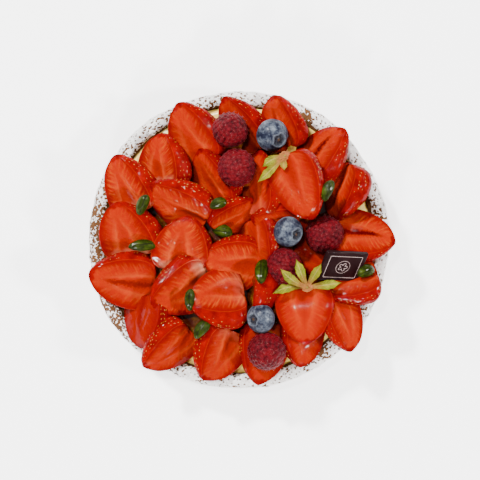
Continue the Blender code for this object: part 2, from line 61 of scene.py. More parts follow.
# Strawberry halves: heading of the tip, roll, length, width, depth; then the look of the cut face:
# how pale the core is, how deep its hollow is in mm, and how far the whole berry is darkened, which is
# painted shade, most on the low half-hidden berries; below 0 it is painted light, on the two on top.
HALVES = {
    "halfrim06": (264, 38, 34.0, 33.0, 15.0, 0.1, 0.6, 0.9),
    "halfrim07": (221, -38, 37.0, 33.0, 15.0, 0.35, 0.9, 0.1),
    "halfrim08": (243, -32, 36.0, 37.0, 15.5, 0.6, 1.6, 0.1),
    "halfrim09": (267, -8, 38.5, 32.0, 14.0, 0.3, 0.8, 0.3),
    "halfrim10": (268, -20, 31.0, 28.0, 13.0, 0.4, 1.2, 0.15),
    "halfrim11": (287, -26, 33.0, 28.0, 13.0, 0.5, 0.8, 0.0),
    "halfrim12": (198, 30, 35.0, 31.0, 14.0, 0.3, 0.8, 0.25),
    "halfrim13": (352, -22, 38.0, 34.0, 14.5, 0.25, 1.8, 0.1),
    "halfrim14": (256, 54, 37.0, 33.0, 15.5, 0.5, 1.6, 0.1),
    "halfrim15": (52, -40, 38.0, 34.0, 15.5, 0.3, 1.6, 0.0),
    "halfrim16": (108, -30, 35.0, 30.0, 14.0, 0.3, 0.6, 0.0),
    "halfrim17": (124, -32, 40.0, 29.0, 14.0, 0.3, 0.6, 0.3),
    "halfrim01": (122, -28, 42.0, 36.0, 15.5, 0.45, 0.8, 0.05),
    "halfrim02": (92, -32, 34.0, 36.5, 15.5, 0.8, 1.6, 0.1),
    "halfrim03": (116, -32, 39.0, 35.0, 15.5, 0.7, 1.2, 0.0),
    "halfrim04": (112, -26, 37.0, 41.0, 16.0, 0.75, 1.6, 0.05),
    "halfrim05": (172, -20, 41.0, 37.0, 15.5, 0.5, 1.2, 0.05),
    "halfmid30": (80, 12, 29.0, 25.0, 10.0, 0.2, 0.5, 0.6),
    "halfmid31": (320, -6, 27.0, 25.0, 10.0, 0.2, 0.5, 0.6),
    "halfmid29": (268, -6, 27.0, 25.0, 10.0, 0.3, 0.5, 0.4),
    "halfmid27": (184, -40, 30.0, 24.0, 11.5, 0.3, 0.6, 0.2),
    "halfmid26": (88, -34, 40.0, 30.0, 13.0, 0.6, 0.9, 0.2),
    "halfmid18": (118, -38, 38.0, 32.0, 14.0, 0.4, 0.9, 0.1),
    "halfmid19": (150, -32, 41.0, 34.0, 14.5, 0.35, 1.6, 0.1),
    "halfmid24": (34, 42, 32.0, 27.0, 12.5, 0.5, 0.9, 0.1),
    "halfmid25": (282, 42, 32.0, 27.0, 12.5, 0.4, 0.8, 0.2),
    "halfmid20": (88, -4, 35.0, 38.0, 15.0, 0.8, 3.0, 0.1),
    "halfmid23": (172, -10, 35.0, 34.5, 15.0, 0.5, 1.4, 0.1),
    "halfmid21": (213, -24, 41.0, 38.0, 15.5, 0.85, 1.6, 0.05),
    "halfmid28": (258, 118, 31.0, 28.0, 13.0, 0.3, 0.6, 0.25),
    "halfmid22": (186, 22, 36.0, 38.0, 15.5, 0.6, 2.6, 0.1),
    "halftop1": (293, 28, 43.0, 34.5, 14.5, 0.12, 0.3, -0.1),
    "halftop2": (272, 3, 37.0, 36.5, 14.0, 0.25, 0.4, -0.1),
}
# the share of the half-width that the skin covers on the raised side, where it's unusual
OVER = {
    "halfmid22": 0.52,
    "halfrim02": 0.34,
    "halfmid19": 0.32,
    "halftop1": 0.10,
    "halftop2": 0.08,
    "halfrim06": 0.12,
}
# how strongly the dark slit in the core shows, where it does: painted shade of a narrow hollow along the
# core
SLITS = {
    "halfrim13": 1.0,
    "halfrim15": 0.9,
    "halfrim14": 0.7,
    "halfrim05": 0.6,
    "halfrim06": 0.7,
    "halfrim09": 0.5,
    "halfrim16": 0.4,
}
# how strongly the fibres show, where they differ from the rest
PLAIN_FIBRES = 0.35
FIBRES = {
    "halfrim13": 0.9,
    "halfrim02": 1.0,
    "halfmid19": 0.8,
    "halfmid22": 1.0,
    "halfmid20": 1.0,
    "halfmid23": 0.9,
    "halfrim03": 0.7,
    "halfmid21": 0.6,
}
# the halves with the most glaze on them
WET = ("halftop1", "halfmid27", "halfrim16", "halfmid28")
# headings and lifts in degrees of the raspberries' and blueberries' own axes
RASPBERRIES = {
    "raspberry1": (60, 64),
    "raspberry2": (-40, 70),
    "raspberry3": (120, 58),
    "raspberry4": (20, 66),
    "raspberry5": (-95, 72),
}
BLUEBERRIES = {"blueberry1": (-42, 48), "blueberry2": (-20, 46), "blueberry3": (183, 48)}
# each leaf's heading in degrees, length and width
LEAVES = {
    "calyx1": [(40, 9.5, 6.0), (268, 8.5, 5.0), (205, 14.5, 6.5), (224, 22.0, 6.0)],
    "calyx2": [(112, 18.0, 6.5), (145, 19.5, 6.5), (190, 20.5, 6.5), (62, 16.0, 6.0), (8, 20.5, 6.5)],
}
# where the leaves meet
CALYX_AT = {"calyx1": (26.8, 48.4), "calyx2": (40.0, -27.6)}


# ---------------------------------------------------------------- arrays, noise and meshes
# how much light the studio's lamps send back from a white surface
LIGHT = 3.7


def lit(r, g, b):
    """The surface colour that sends back these amounts of light in the studio's light."""
    return tuple(min(c / LIGHT, 0.98) for c in (r, g, b)) + (1.0,)


def corner_value(ix, iy, iz, seed):
    """A repeatable value from 0 to 1 for each lattice corner."""
    h = ix * 374761393 + iy * 668265263 + iz * 1440662683 + seed * 974711
    h = h & 0xFFFFFFFF
    h = ((h ^ (h >> 13)) * 1274126177) & 0xFFFFFFFF
    return ((h ^ (h >> 16)) & 0xFFFF) / 65535.0


def noise(points, size, seed=0):
    """Smooth noise from -1 to 1 with features of the given size."""
    p = np.asarray(points, float) / size + 1000.0
    cell = np.floor(p).astype(np.int64)
    f = p - cell
    f = f * f * (3 - 2 * f)
    total = 0.0
    for dx in (0, 1):
        for dy in (0, 1):
            for dz in (0, 1):
                wx = f[..., 0] if dx else 1 - f[..., 0]
                wy = f[..., 1] if dy else 1 - f[..., 1]
                wz = f[..., 2] if dz else 1 - f[..., 2]
                value = corner_value(cell[..., 0] + dx, cell[..., 1] + dy, cell[..., 2] + dz, seed)
                total = total + wx * wy * wz * value
    return total * 2 - 1


def layered(points, size, seed=0, layers=3):
    """Noise with finer layers added."""
    total = 0.0
    for k in range(layers):
        total = total + noise(points, size / 2**k, seed + 17 * k) / 2**k
    return total


def step(low, high, x):
    """A smooth step from 0 to 1."""
    t = np.clip((np.asarray(x, float) - low) / (high - low), 0, 1)
    return t * t * (3 - 2 * t)


def unit(v):
    """Vectors of length 1."""
    return v / np.maximum(np.linalg.norm(v, axis=-1, keepdims=True), 1e-9)


def grid_quads(rows, columns, wrap=False, first=0):
    """The quads of a grid of vertices, closed along its columns if wrap is set."""
    index = np.arange(rows * columns).reshape(rows, columns) + first
    if wrap:
        index = np.concatenate([index, index[:, :1]], axis=1)
    quads = np.stack([index[:-1, :-1], index[:-1, 1:], index[1:, 1:], index[1:, :-1]], axis=-1)
    return quads.reshape(-1, 4)


def add_mesh(name, verts, faces, mat, attributes=None, smooth=True):
    """A piece from vertices in mm and a list of arrays of faces, riding on the tart."""
    mesh = bpy.data.meshes.new(name)
    verts = np.asarray(verts, float) * MM
    mesh.vertices.add(len(verts))
    mesh.vertices.foreach_set("co", verts.astype(np.float32).ravel())
    corners = np.concatenate([f.ravel() for f in faces]).astype(np.int32)
    sizes = np.concatenate([np.full(len(f), f.shape[1]) for f in faces])
    starts = np.concatenate([[0], np.cumsum(sizes)[:-1]]).astype(np.int32)
    mesh.loops.add(len(corners))
    mesh.loops.foreach_set("vertex_index", corners)
    mesh.polygons.add(len(sizes))
    mesh.polygons.foreach_set("loop_start", starts)
    mesh.update(calc_edges=True)
    mesh.validate()
    for key, values in (attributes or {}).items():
        layer = mesh.attributes.new(key, "FLOAT_VECTOR", "POINT")
        layer.data.foreach_set("vector", np.asarray(values, np.float32).ravel())
    mesh.polygons.foreach_set("use_smooth", np.full(len(mesh.polygons), smooth))
    mesh.materials.append(mat)
    obj = bpy.data.objects.new(name, mesh)
    bpy.context.scene.collection.objects.link(obj)
    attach(obj, "root")
    return obj


def node_arrays(name):
    """A CAD node's vertices in mm and its triangles."""
    mesh = NODES[name].data
    verts = np.array([v.co[:] for v in mesh.vertices]) / MM
    mesh.calc_loop_triangles()
    tris = np.array([t.vertices[:] for t in mesh.loop_triangles])
    return verts, tris


def box_centre(name):
    """The middle of a CAD node's box and its size, in mm."""
    low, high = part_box(name)
    return np.array((low + high) / 2) / MM, np.array(high - low) / MM


def rotation(heading, lift, roll):
    """The matrix that points +X to the heading, lifts it, and raises the +Y side by the roll."""
    h, t, r = (math.radians(a) for a in (heading, lift, roll))
    turn = np.array([[math.cos(h), -math.sin(h), 0], [math.sin(h), math.cos(h), 0], [0, 0, 1]])
    tip = np.array([[math.cos(t), 0, -math.sin(t)], [0, 1, 0], [math.sin(t), 0, math.cos(t)]])
    lean = np.array([[1, 0, 0], [0, math.cos(r), -math.sin(r)], [0, math.sin(r), math.cos(r)]])
    return turn @ tip @ lean


# ---------------------------------------------------------------- shader helpers
class Shader:
    """Builds one procedural material."""

    def __init__(self, name):
        self.mat = bpy.data.materials.new(name)
        self.mat.use_nodes = True
        self.tree = self.mat.node_tree
        self.main = self.tree.nodes["Principled BSDF"]

    def put(self, kind, settings=None, **inputs):
        made = self.tree.nodes.new("ShaderNode" + kind)
        for key, value in (settings or {}).items():
            setattr(made, key, value)
        for key, value in inputs.items():
            self.feed(made.inputs[int(key[1:]) if key[0] == "i" and key[1:].isdigit() else key], value)
        return made

    def feed(self, socket, value):
        if isinstance(value, bpy.types.NodeSocket):
            self.tree.links.new(value, socket)
        else:
            socket.default_value = value

    def set(self, **inputs):
        for key, value in inputs.items():
            self.feed(self.main.inputs[key.replace("_", " ")], value)

    def attribute(self, name):
        return self.put("Attribute", {"attribute_name": name}).outputs["Vector"]

    def split(self, vector):
        return self.put("SeparateXYZ", i0=vector).outputs

    def join(self, x, y, z):
        return self.put("CombineXYZ", i0=x, i1=y, i2=z).outputs[0]

    def math(self, operation, a, b=0.0, clamp=False):
        return self.put("Math", {"operation": operation, "use_clamp": clamp}, i0=a, i1=b).outputs[0]

    def plus(self, a, b, clamp=False):
        return self.math("ADD", a, b, clamp)

    def minus(self, a, b, clamp=False):
        return self.math("SUBTRACT", a, b, clamp)

    def times(self, a, b, clamp=False):
        return self.math("MULTIPLY", a, b, clamp)

    def sway(self, value, amount):
        """A value that varies round 0.5, made to vary round 0 by the amount."""
        return self.times(self.minus(value, 0.5), amount)

    def place(self, scale=1000.0):
        coordinates = self.put("TexCoord").outputs["Object"]
        return self.put("Mapping", i0=coordinates, i3=(scale, scale, scale)).outputs[0]

    def noise(self, vector, scale, detail=3.0, roughness=0.55):
        made = self.put("TexNoise", i0=vector)
        made.inputs["Scale"].default_value = scale
        made.inputs["Detail"].default_value = detail
        made.inputs["Roughness"].default_value = roughness
        return made.outputs["Fac"]

    def cells(self, vector, scale, feature="F1"):
        made = self.put("TexVoronoi", {"feature": feature}, i0=vector)
        made.inputs["Scale"].default_value = scale
        return made.outputs["Distance"]

    def rough(self, value, *stops):
        self.set(Roughness=self.ramp(value, *stops))

    def ramp(self, value, *stops):
        made = self.put("ValToRGB", i0=value)
        elements = made.color_ramp.elements
        while len(elements) < len(stops):
            elements.new(0.5)
        for element, (at, colour) in zip(elements, stops):
            element.position = at
            element.color = colour if isinstance(colour, tuple) else (colour, colour, colour, 1)
        return made.outputs[0]

    def mix(self, factor, a, b, blend="MIX"):
        made = self.put("Mix", {"data_type": "RGBA", "blend_type": blend})
        self.feed(made.inputs[0], factor)
        self.feed(made.inputs[6], a)
        self.feed(made.inputs[7], b)
        return made.outputs[2]

    def bump(self, height, distance, strength=1.0, normal=None):
        made = self.put("Bump")
        made.inputs["Distance"].default_value = distance
        self.feed(made.inputs["Strength"], strength)
        self.feed(made.inputs["Height"], height)
        if normal is not None:
            self.feed(made.inputs["Normal"], normal)
        return made.outputs[0]


def gloss(shader, coat, coat_roughness, ior=1.45, base=0.1):
    """A clear coat over a duller surface."""
    shader.set(Specular_IOR_Level=base, Coat_Weight=coat, Coat_Roughness=coat_roughness, IOR=ior)


def soft_inside(shader, weight, radius, scale):
    """Light that scatters inside."""
    shader.set(Subsurface_Weight=weight, Subsurface_Radius=radius, Subsurface_Scale=scale)


def strawberry_material():
    """Skin and cut flesh of a glazed strawberry, from attributes that each berry's mesh carries.

    fruit: along the berry 0 to 1, across -1 to 1, and 1 on the skin or 0 on the cut face.
    place: millimetres in the berry's own frame, shifted for each berry. tone: pale core, darkening of the
    whole berry as painted shade, pale hull.
    core: how strongly the slit (painted shade) and the fibres show, and 1 where the glaze is thick.
    """
    s = Shader("strawberry_glazed")
    along, across, skin = s.split(s.attribute("fruit"))
    place = s.attribute("place")
    pale, dark, hull = s.split(s.attribute("tone"))
    slit, combed, wet = s.split(s.attribute("core"))
    off = s.math("ABSOLUTE", across)

    # cut flesh: fibres run from the core out to the skin, slanting towards the tip
    slant = s.minus(along, s.times(off, 0.2))
    ray = s.join(s.times(slant, 10.0), s.times(across, 0.7), s.times(pale, 9.0))
    fibre = s.noise(ray, 2.2, 2.0, 0.6)
    fibre = s.ramp(fibre, (0.47, 0.0), (0.64, 1.0))
    reach = s.ramp(off, (0.12, 0.1), (0.40, 0.8), (0.78, 1.0), (0.95, 0.0))
    patchy = s.ramp(s.noise(place, 0.11, 2.0), (0.34, 0.35), (0.54, 1.0))
    fibre = s.times(s.times(fibre, reach), s.times(combed, patchy))
    cloud = s.noise(place, 0.14, 3.0)
    flesh = s.ramp(
        cloud,
        (0.30, lit(0.80, 0.006, 0.0)),
        (0.50, lit(0.98, 0.024, 0.0)),
        (0.72, lit(1.20, 0.060, 0.0)),
    )
    gap = s.times(s.ramp(off, (0.40, 0.0), (0.85, 0.65)), s.minus(1.0, fibre, True))
    inside = s.ramp(s.plus(off, s.sway(cloud, 0.6)), (0.22, 0.75), (0.70, 0.0))
    flesh = s.mix(inside, flesh, lit(1.08, 0.042, 0.0))
    flesh = s.mix(gap, flesh, lit(0.60, 0.0, 0.0))
    flesh = s.mix(s.times(fibre, 0.7), flesh, lit(1.6, 0.24, 0.012))
    wobble = s.sway(s.noise(place, 0.22, 2.0), 0.18)
    # the edge of the core is wide at the hull and closes towards the tip
    core = s.plus(s.plus(off, wobble), s.times(along, 0.42))
    ring = s.ramp(core, (0.34, 0.0), (0.43, 1.0), (0.50, 0.6), (0.62, 0.0))
    ends = s.ramp(along, (0.02, 0.5), (0.16, 1.0), (0.50, 0.8), (0.80, 0.0))
    ring = s.times(s.times(ring, ends), s.plus(s.times(pale, 0.85), 0.15))
    flesh = s.mix(s.times(ring, 0.75), flesh, lit(1.7, 0.22, 0.035))
    heart = s.ramp(core, (0.16, 1.0), (0.40, 0.0))
    # the dark slit along the core's middle line, from the hull to past the middle: painted shade of a narrow
    # hollow
    line = s.ramp(s.plus(off, s.sway(s.noise(place, 0.75, 2.0), 0.30)), (0.04, 1.0), (0.13, 0.0))
    slit = s.times(slit, s.times(line, s.ramp(along, (0.62, 1.0), (0.80, 0.0))))
    heart_colour = s.mix(pale, lit(0.60, 0.004, 0.001), lit(1.05, 0.04, 0.002))
    flesh = s.mix(s.times(heart, 0.75), flesh, heart_colour)
    flesh = s.mix(slit, flesh, lit(0.18, 0.0, 0.0))
    hull_end = s.times(s.ramp(s.plus(along, wobble), (0.06, 1.0), (0.22, 0.0)), hull)
    flesh = s.mix(hull_end, flesh, lit(2.1, 0.80, 0.42))
    rim = s.ramp(s.plus(off, s.times(wobble, 0.5)), (0.64, 0.0), (0.84, 0.75), (0.95, 1.0))
    flesh = s.mix(rim, flesh, lit(0.60, 0.0, 0.0))
    # the whole berry darkened by its dark value: painted shade, deepest on the low half-hidden berries
    flesh = s.mix(s.times(dark, 0.8, True), flesh, lit(0.60, 0.004, 0.001))

    # skin: glossy red, darker in blotches, paler at the hull, and darkened by the dark value as painted
    # shade
    blotch = s.noise(place, 0.2, 4.0)
    peel = s.ramp(
        blotch,
        (0.32, lit(0.38, 0.0, 0.0)),
        (0.50, lit(0.62, 0.0, 0.0)),
        (0.72, lit(0.90, 0.0, 0.0)),
    )
    # painted shade over the skin, by the berry's dark value
    peel = s.mix(s.times(dark, 0.6, True), peel, lit(0.36, 0.001, 0.004))
    neck = s.times(s.ramp(along, (0.04, 1.0), (0.16, 0.0)), hull)
    peel = s.mix(neck, peel, lit(1.5, 0.3, 0.12))

    s.set(Base_Color=s.mix(skin, flesh, peel))
    s.rough(s.noise(place, 0.5, 3.0), (0.3, 0.30), (0.7, 0.5))
    ripple = s.noise(place, 0.35, 2.0)
    grain = s.plus(s.times(fibre, 0.7), s.noise(place, 1.2, 2.0))
    lumps = s.bump(ripple, 0.0011, 0.5)
    s.set(Normal=s.bump(grain, 0.00025, 0.6, lumps))
    ridge = s.math("ABSOLUTE", s.minus(s.noise(place, 0.22, 2.0), 0.5))
    ridge = s.ramp(ridge, (0.0, 1.0), (0.035, 0.0))
    glazed = s.plus(s.noise(place, 0.14, 0.0), s.times(ridge, s.plus(0.10, s.times(wet, 0.12))))
    s.set(Coat_Normal=s.bump(glazed, 0.0010, s.plus(0.55, s.times(wet, 0.4))))
    gloss(s, 0.16, 0.015, base=0.0)
    soft_inside(s, 0.08, (1.0, 0.1, 0.04), 0.0015)
    return s.mat


def seed_material():
    s = Shader("strawberry_seed")
    tint = s.noise(s.place(), 0.9, 2.0)
    body = s.ramp(
        tint,
        (0.34, lit(0.70, 0.04, 0.005)),
        (0.5, lit(1.05, 0.26, 0.02)),
        (0.70, lit(1.7, 0.75, 0.10)),
    )
    s.set(Base_Color=body)
    s.rough(tint, (0.3, 0.35), (0.7, 0.5))
    gloss(s, 0.6, 0.1)
    return s.mat


def raspberry_material():
    """Drupelets: near-black red in the creases and crimson on their tops, painted shade and light; over them
    a soft pale bloom with painted sheen, heavier on the tops.
    """
    s = Shader("raspberry_skin")
    bulge = s.split(s.attribute("fruit"))[0]
    place = s.place()
    # painted shade and light: near-black in the creases between drupelets, lighter on their tops
    body = s.ramp(
        bulge,
        (0.05, lit(0.04, 0.0, 0.003)),
        (0.5, lit(0.14, 0.0, 0.006)),
        (0.85, lit(0.23, 0.0, 0.008)),
        (1.0, lit(0.34, 0.006, 0.018)),
    )
    patch = s.noise(place, 0.14, 3.0)
    body = s.mix(s.ramp(patch, (0.42, 0.0), (0.68, 0.6)), body, lit(0.48, 0.0, 0.008))
    # a pale bloom in random specks, heavier on the drupelets' tops as painted sheen
    dust = s.ramp(s.noise(place, 1.7, 5.0, 0.75), (0.50, 0.0), (0.66, 1.0))
    bloom_and_sheen = s.times(dust, s.ramp(bulge, (0.25, 0.1), (0.8, 0.32)))
    body = s.mix(bloom_and_sheen, body, lit(0.85, 0.12, 0.18))
    s.set(Base_Color=body)
    s.rough(bulge, (0.1, 0.6), (0.9, 0.48))
    s.set(Normal=s.bump(s.noise(place, 1.6, 5.0, 0.75), 0.00035, 0.7))
    s.set(Specular_IOR_Level=0.06, Sheen_Weight=0.02, Sheen_Roughness=0.5)
    s.set(Sheen_Tint=(0.838799, 0.514918, 0.552011, 1.0))
    soft_inside(s, 0.1, (1.0, 0.15, 0.12), 0.001)
    return s.mat


def hair_material():
    s = Shader("raspberry_hair")
    tint = s.noise(s.place(), 0.7, 2.0)
    s.set(Base_Color=s.ramp(tint, (0.35, lit(0.26, 0.03, 0.03)), (0.65, lit(0.85, 0.26, 0.20))))
    s.rough(s.noise(s.place(), 1.3, 2.0), (0.3, 0.45), (0.7, 0.65))
    return s.mat


def blueberry_material():
    """Dusty bloom, rubbed thin in patches, over a dark skin; darkest inside the crown."""
    s = Shader("blueberry_skin")
    crown, lip, button = s.split(s.attribute("fruit"))
    place = s.place()
    rubbed = s.plus(s.noise(place, 0.17, 4.0, 0.62), s.sway(s.noise(place, 0.9, 4.0, 0.7), 0.45))
    skin = s.ramp(
        rubbed,
        (0.37, lit(0.026, 0.03, 0.07)),
        (0.46, lit(0.10, 0.12, 0.18)),
        (0.56, lit(0.26, 0.30, 0.38)),
        (0.68, lit(0.52, 0.60, 0.72)),
    )
    streak = s.noise(s.put("Mapping", i0=place, i3=(0.5, 0.9, 2.2)).outputs[0], 0.5, 4.0)
    skin = s.mix(s.ramp(streak, (0.54, 0.0), (0.70, 0.65)), skin, lit(0.045, 0.05, 0.09))
    hollow = s.ramp(s.noise(place, 1.1, 3.0), (0.42, lit(0.02, 0.02, 0.035)), (0.62, lit(0.10, 0.10, 0.13)))
    skin = s.mix(crown, skin, hollow)
    skin = s.mix(s.times(lip, 0.7), skin, lit(0.34, 0.38, 0.46))
    skin = s.mix(s.times(button, 0.8), skin, lit(0.24, 0.11, 0.04))
    s.set(Base_Color=skin)
    s.rough(rubbed, (0.36, 0.34), (0.6, 0.66))
    s.set(Normal=s.bump(s.noise(place, 0.9, 5.0, 0.7), 0.00025, 0.6))
    gloss(s, 0.10, 0.22, base=0.1)
    return s.mat


def pistachio_material():
    """Green kernel, near-black brown along its split and in its deeper wrinkles."""
    s = Shader("pistachio_kernel")
    crease = s.split(s.attribute("fruit"))[0]
    place = s.place()
    tint = s.noise(place, 0.3, 4.0, 0.6)
    green = s.ramp(
        tint,
        (0.32, lit(0.016, 0.026, 0.002)),
        (0.5, lit(0.05, 0.085, 0.004)),
        (0.68, lit(0.14, 0.20, 0.010)),
    )
    fine = s.ramp(s.noise(place, 1.2, 4.0, 0.7), (0.5, 0.0), (0.72, 0.5))
    green = s.mix(fine, green, lit(0.09, 0.06, 0.012))
    green = s.mix(s.ramp(crease, (0.25, 0.0), (0.9, 0.8)), green, lit(0.024, 0.018, 0.007))
    s.set(Base_Color=green)
    s.rough(tint, (0.3, 0.32), (0.7, 0.5))
    s.set(Normal=s.bump(s.noise(place, 1.0, 5.0, 0.65), 0.0004, 0.7))
    gloss(s, 0.22, 0.06, base=0.03)
    return s.mat


def leaf_material():
    """Yellow-green leaf with a pale vein, tan and dry near the hull and in patches."""
    s = Shader("strawberry_leaf")
    along, across, dry = s.split(s.attribute("fruit"))
    place = s.place()
    tint = s.noise(place, 0.25, 4.0)
    green = s.ramp(
        tint,
        (0.3, lit(0.22, 0.30, 0.012)),
        (0.50, lit(0.48, 0.57, 0.01)),
        (0.70, lit(1.0, 0.95, 0.03)),
    )
    side = s.math("ABSOLUTE", across)
    slant = s.join(s.plus(along, s.times(side, -0.18)), 0.0, 0.0)
    veins = s.put("TexWave", {"bands_direction": "X"}, i0=slant)
    veins.inputs["Scale"].default_value = 3.2
    veins.inputs["Distortion"].default_value = 0.6
    green = s.mix(s.ramp(veins.outputs["Fac"], (0.6, 0.0), (1.0, 0.3)), green, lit(1.1, 0.95, 0.15))
    green = s.mix(s.ramp(side, (0.0, 0.7), (0.16, 0.0)), green, lit(1.3, 1.0, 0.25))
    base = s.ramp(s.plus(along, s.sway(tint, 0.5)), (0.14, 1.0), (0.50, 0.0))
    tan = s.plus(s.times(base, 0.75), s.times(dry, s.ramp(tint, (0.3, 0.4), (0.7, 1.0))), True)
    green = s.mix(tan, green, lit(1.1, 0.36, 0.10))
    s.set(Base_Color=green)
    s.rough(tint, (0.3, 0.42), (0.7, 0.6))
    s.set(Normal=s.bump(s.plus(veins.outputs["Fac"], s.noise(place, 1.2, 4.0)), 0.0003, 0.6))
    s.set(Specular_IOR_Level=0.1)
    return s.mat


def crust_material():
    """Baked shortcrust: golden sides, browner edges, dents darkened as painted shade, a browner inner wall
    that carries painted shade too, crumbs and pits.
    """
    s = Shader("pastry_baked")
    browned_and_shaded, inner, _ = s.split(s.attribute("fruit"))
    place = s.place()
    patch = s.noise(place, 0.06, 4.0, 0.6)
    body = s.ramp(
        patch,
        (0.28, lit(1.0, 0.42, 0.06)),
        (0.5, lit(0.72, 0.27, 0.045)),
        (0.72, lit(0.46, 0.16, 0.03)),
    )
    crumb = s.noise(place, 0.9, 5.0, 0.7)
    body = s.mix(s.ramp(crumb, (0.42, 0.6), (0.62, 0.0)), body, lit(0.25, 0.08, 0.02))
    # browner at the top and the foot, and darker in the relief's dents as painted shade
    body = s.mix(s.times(browned_and_shaded, 0.8), body, lit(0.30, 0.10, 0.025))
    # the inner wall: a darker brown, partly its own colour and partly painted shade
    wet = s.ramp(s.noise(place, 0.25, 3.0), (0.3, lit(0.22, 0.055, 0.014)), (0.7, lit(0.62, 0.24, 0.05)))
    body = s.mix(s.times(inner, 0.9), body, wet)
    fleck = s.ramp(s.cells(place, 0.75), (0.08, 0.7), (0.2, 0.0))
    body = s.mix(fleck, body, lit(0.17, 0.055, 0.016))
    s.set(Base_Color=body)
    s.rough(crumb, (0.3, 0.85), (0.7, 0.62))
    tall = s.plus(s.noise(place, 0.45, 6.0, 0.7), s.times(s.noise(place, 2.2, 4.0), 0.5))
    s.set(Normal=s.bump(tall, 0.0011, 0.8))
    s.set(Specular_IOR_Level=0.3)
    return s.mat


def sugar_material():
    s = Shader("icing_sugar")
    place = s.place()
    lumps = s.noise(place, 0.8, 5.0, 0.7)
    s.set(Base_Color=s.ramp(lumps, (0.3, lit(2.6, 2.35, 2.15)), (0.6, (0.97, 0.95, 0.93, 1.0))))
    s.rough(lumps, (0.3, 0.95), (0.7, 0.85))
    s.set(Normal=s.bump(s.plus(lumps, s.noise(place, 3.2, 3.0)), 0.0004, 0.7))
    s.set(Specular_IOR_Level=0.2)
    return s.mat


def cream_material():
    s = Shader("pastry_cream")
    place = s.place()
    tint = s.noise(place, 0.09, 4.0)
    body = s.ramp(
        tint,
        (0.3, lit(2.8, 1.6, 0.25)),
        (0.55, (0.95, 0.72, 0.20, 1.0)),
        (0.8, (0.98, 0.82, 0.32, 1.0)),
    )
    pod = s.ramp(s.cells(place, 0.42), (0.05, 0.8), (0.085, 0.0))
    body = s.mix(s.times(pod, 0.5), body, lit(0.15, 0.05, 0.01))
    s.set(Base_Color=body)
    s.rough(tint, (0.3, 0.32), (0.7, 0.5))
    s.set(Normal=s.bump(s.noise(place, 0.3, 4.0), 0.0006, 0.5))
    gloss(s, 0.35, 0.12)
    soft_inside(s, 0.15, (1.0, 0.8, 0.45), 0.0015)
    return s.mat


def glaze_material():
    """Amber fruit glaze pooled between the fruit."""
    s = Shader("fruit_glaze")
    place = s.place()
    depth = s.noise(place, 0.09, 4.0)
    body = s.ramp(
        depth,
        (0.34, lit(0.24, 0.010, 0.001)),
        (0.5, lit(0.52, 0.07, 0.004)),
        (0.64, lit(0.95, 0.36, 0.03)),
    )
    s.set(Base_Color=body)
    s.rough(s.noise(place, 0.5, 2.0), (0.3, 0.06), (0.7, 0.16))
    s.set(Normal=s.bump(s.noise(place, 0.3, 3.0), 0.0015, 0.8))
    gloss(s, 1.0, 0.03)
    return s.mat


def chocolate_material():
    s = Shader("chocolate")
    place = s.place()
    tint = s.noise(place, 0.12, 4.0)
    body = s.ramp(
        tint,
        (0.3, lit(0.030, 0.008, 0.010)),
        (0.6, lit(0.050, 0.016, 0.018)),
        (0.8, lit(0.085, 0.036, 0.04)),
    )
    s.set(Base_Color=body)
    s.rough(s.noise(place, 0.5, 3.0), (0.3, 0.25), (0.7, 0.45))
    s.set(Normal=s.bump(s.noise(place, 0.35, 3.0), 0.0002, 0.4))
    gloss(s, 0.08, 0.12, base=0.02)
    return s.mat


def print_material():
    s = Shader("plaque_line")
    tint = s.noise(s.place(), 1.2, 2.0)
    s.set(Base_Color=s.ramp(tint, (0.3, lit(0.75, 0.55, 0.52)), (0.7, lit(1.9, 1.4, 1.3))))
    s.rough(tint, (0.3, 0.4), (0.7, 0.55))
    return s.mat


MAT = {
    "strawberry": strawberry_material(),
    "seed": seed_material(),
    "raspberry": raspberry_material(),
    "hair": hair_material(),
    "blueberry": blueberry_material(),
    "pistachio": pistachio_material(),
    "leaf": leaf_material(),
    "crust": crust_material(),
    "sugar": sugar_material(),
    "cream": cream_material(),
    "glaze": glaze_material(),
    "chocolate": chocolate_material(),
    "print": print_material(),
}


# ---------------------------------------------------------------- strawberries
def berry_radius(x):
    """The half-width of a strawberry, as a share of its greatest, from the hull at 0 to the tip at 1."""
    x = np.asarray(x, float)
    hull = np.sqrt(np.maximum(0.0, 1 - ((SHOULDER - x) / SHOULDER) ** 2)) ** 0.9
    s = np.clip((x - SHOULDER) / (1 - SHOULDER), 0, 1)
    tip = np.maximum(0.0, 1 - s**1.7) ** 0.7
    return np.where(x < SHOULDER, hull, tip)


def fuller_radius(x):
    """The same with a rounder tip, for the shown fruit."""
    x = np.asarray(x, float)
    s = np.clip((x - SHOULDER) / (1 - SHOULDER), 0, 1)
    tip = np.maximum(0.0, 1 - s**1.95) ** 0.62
    return np.where(x < SHOULDER, berry_radius(x), tip)


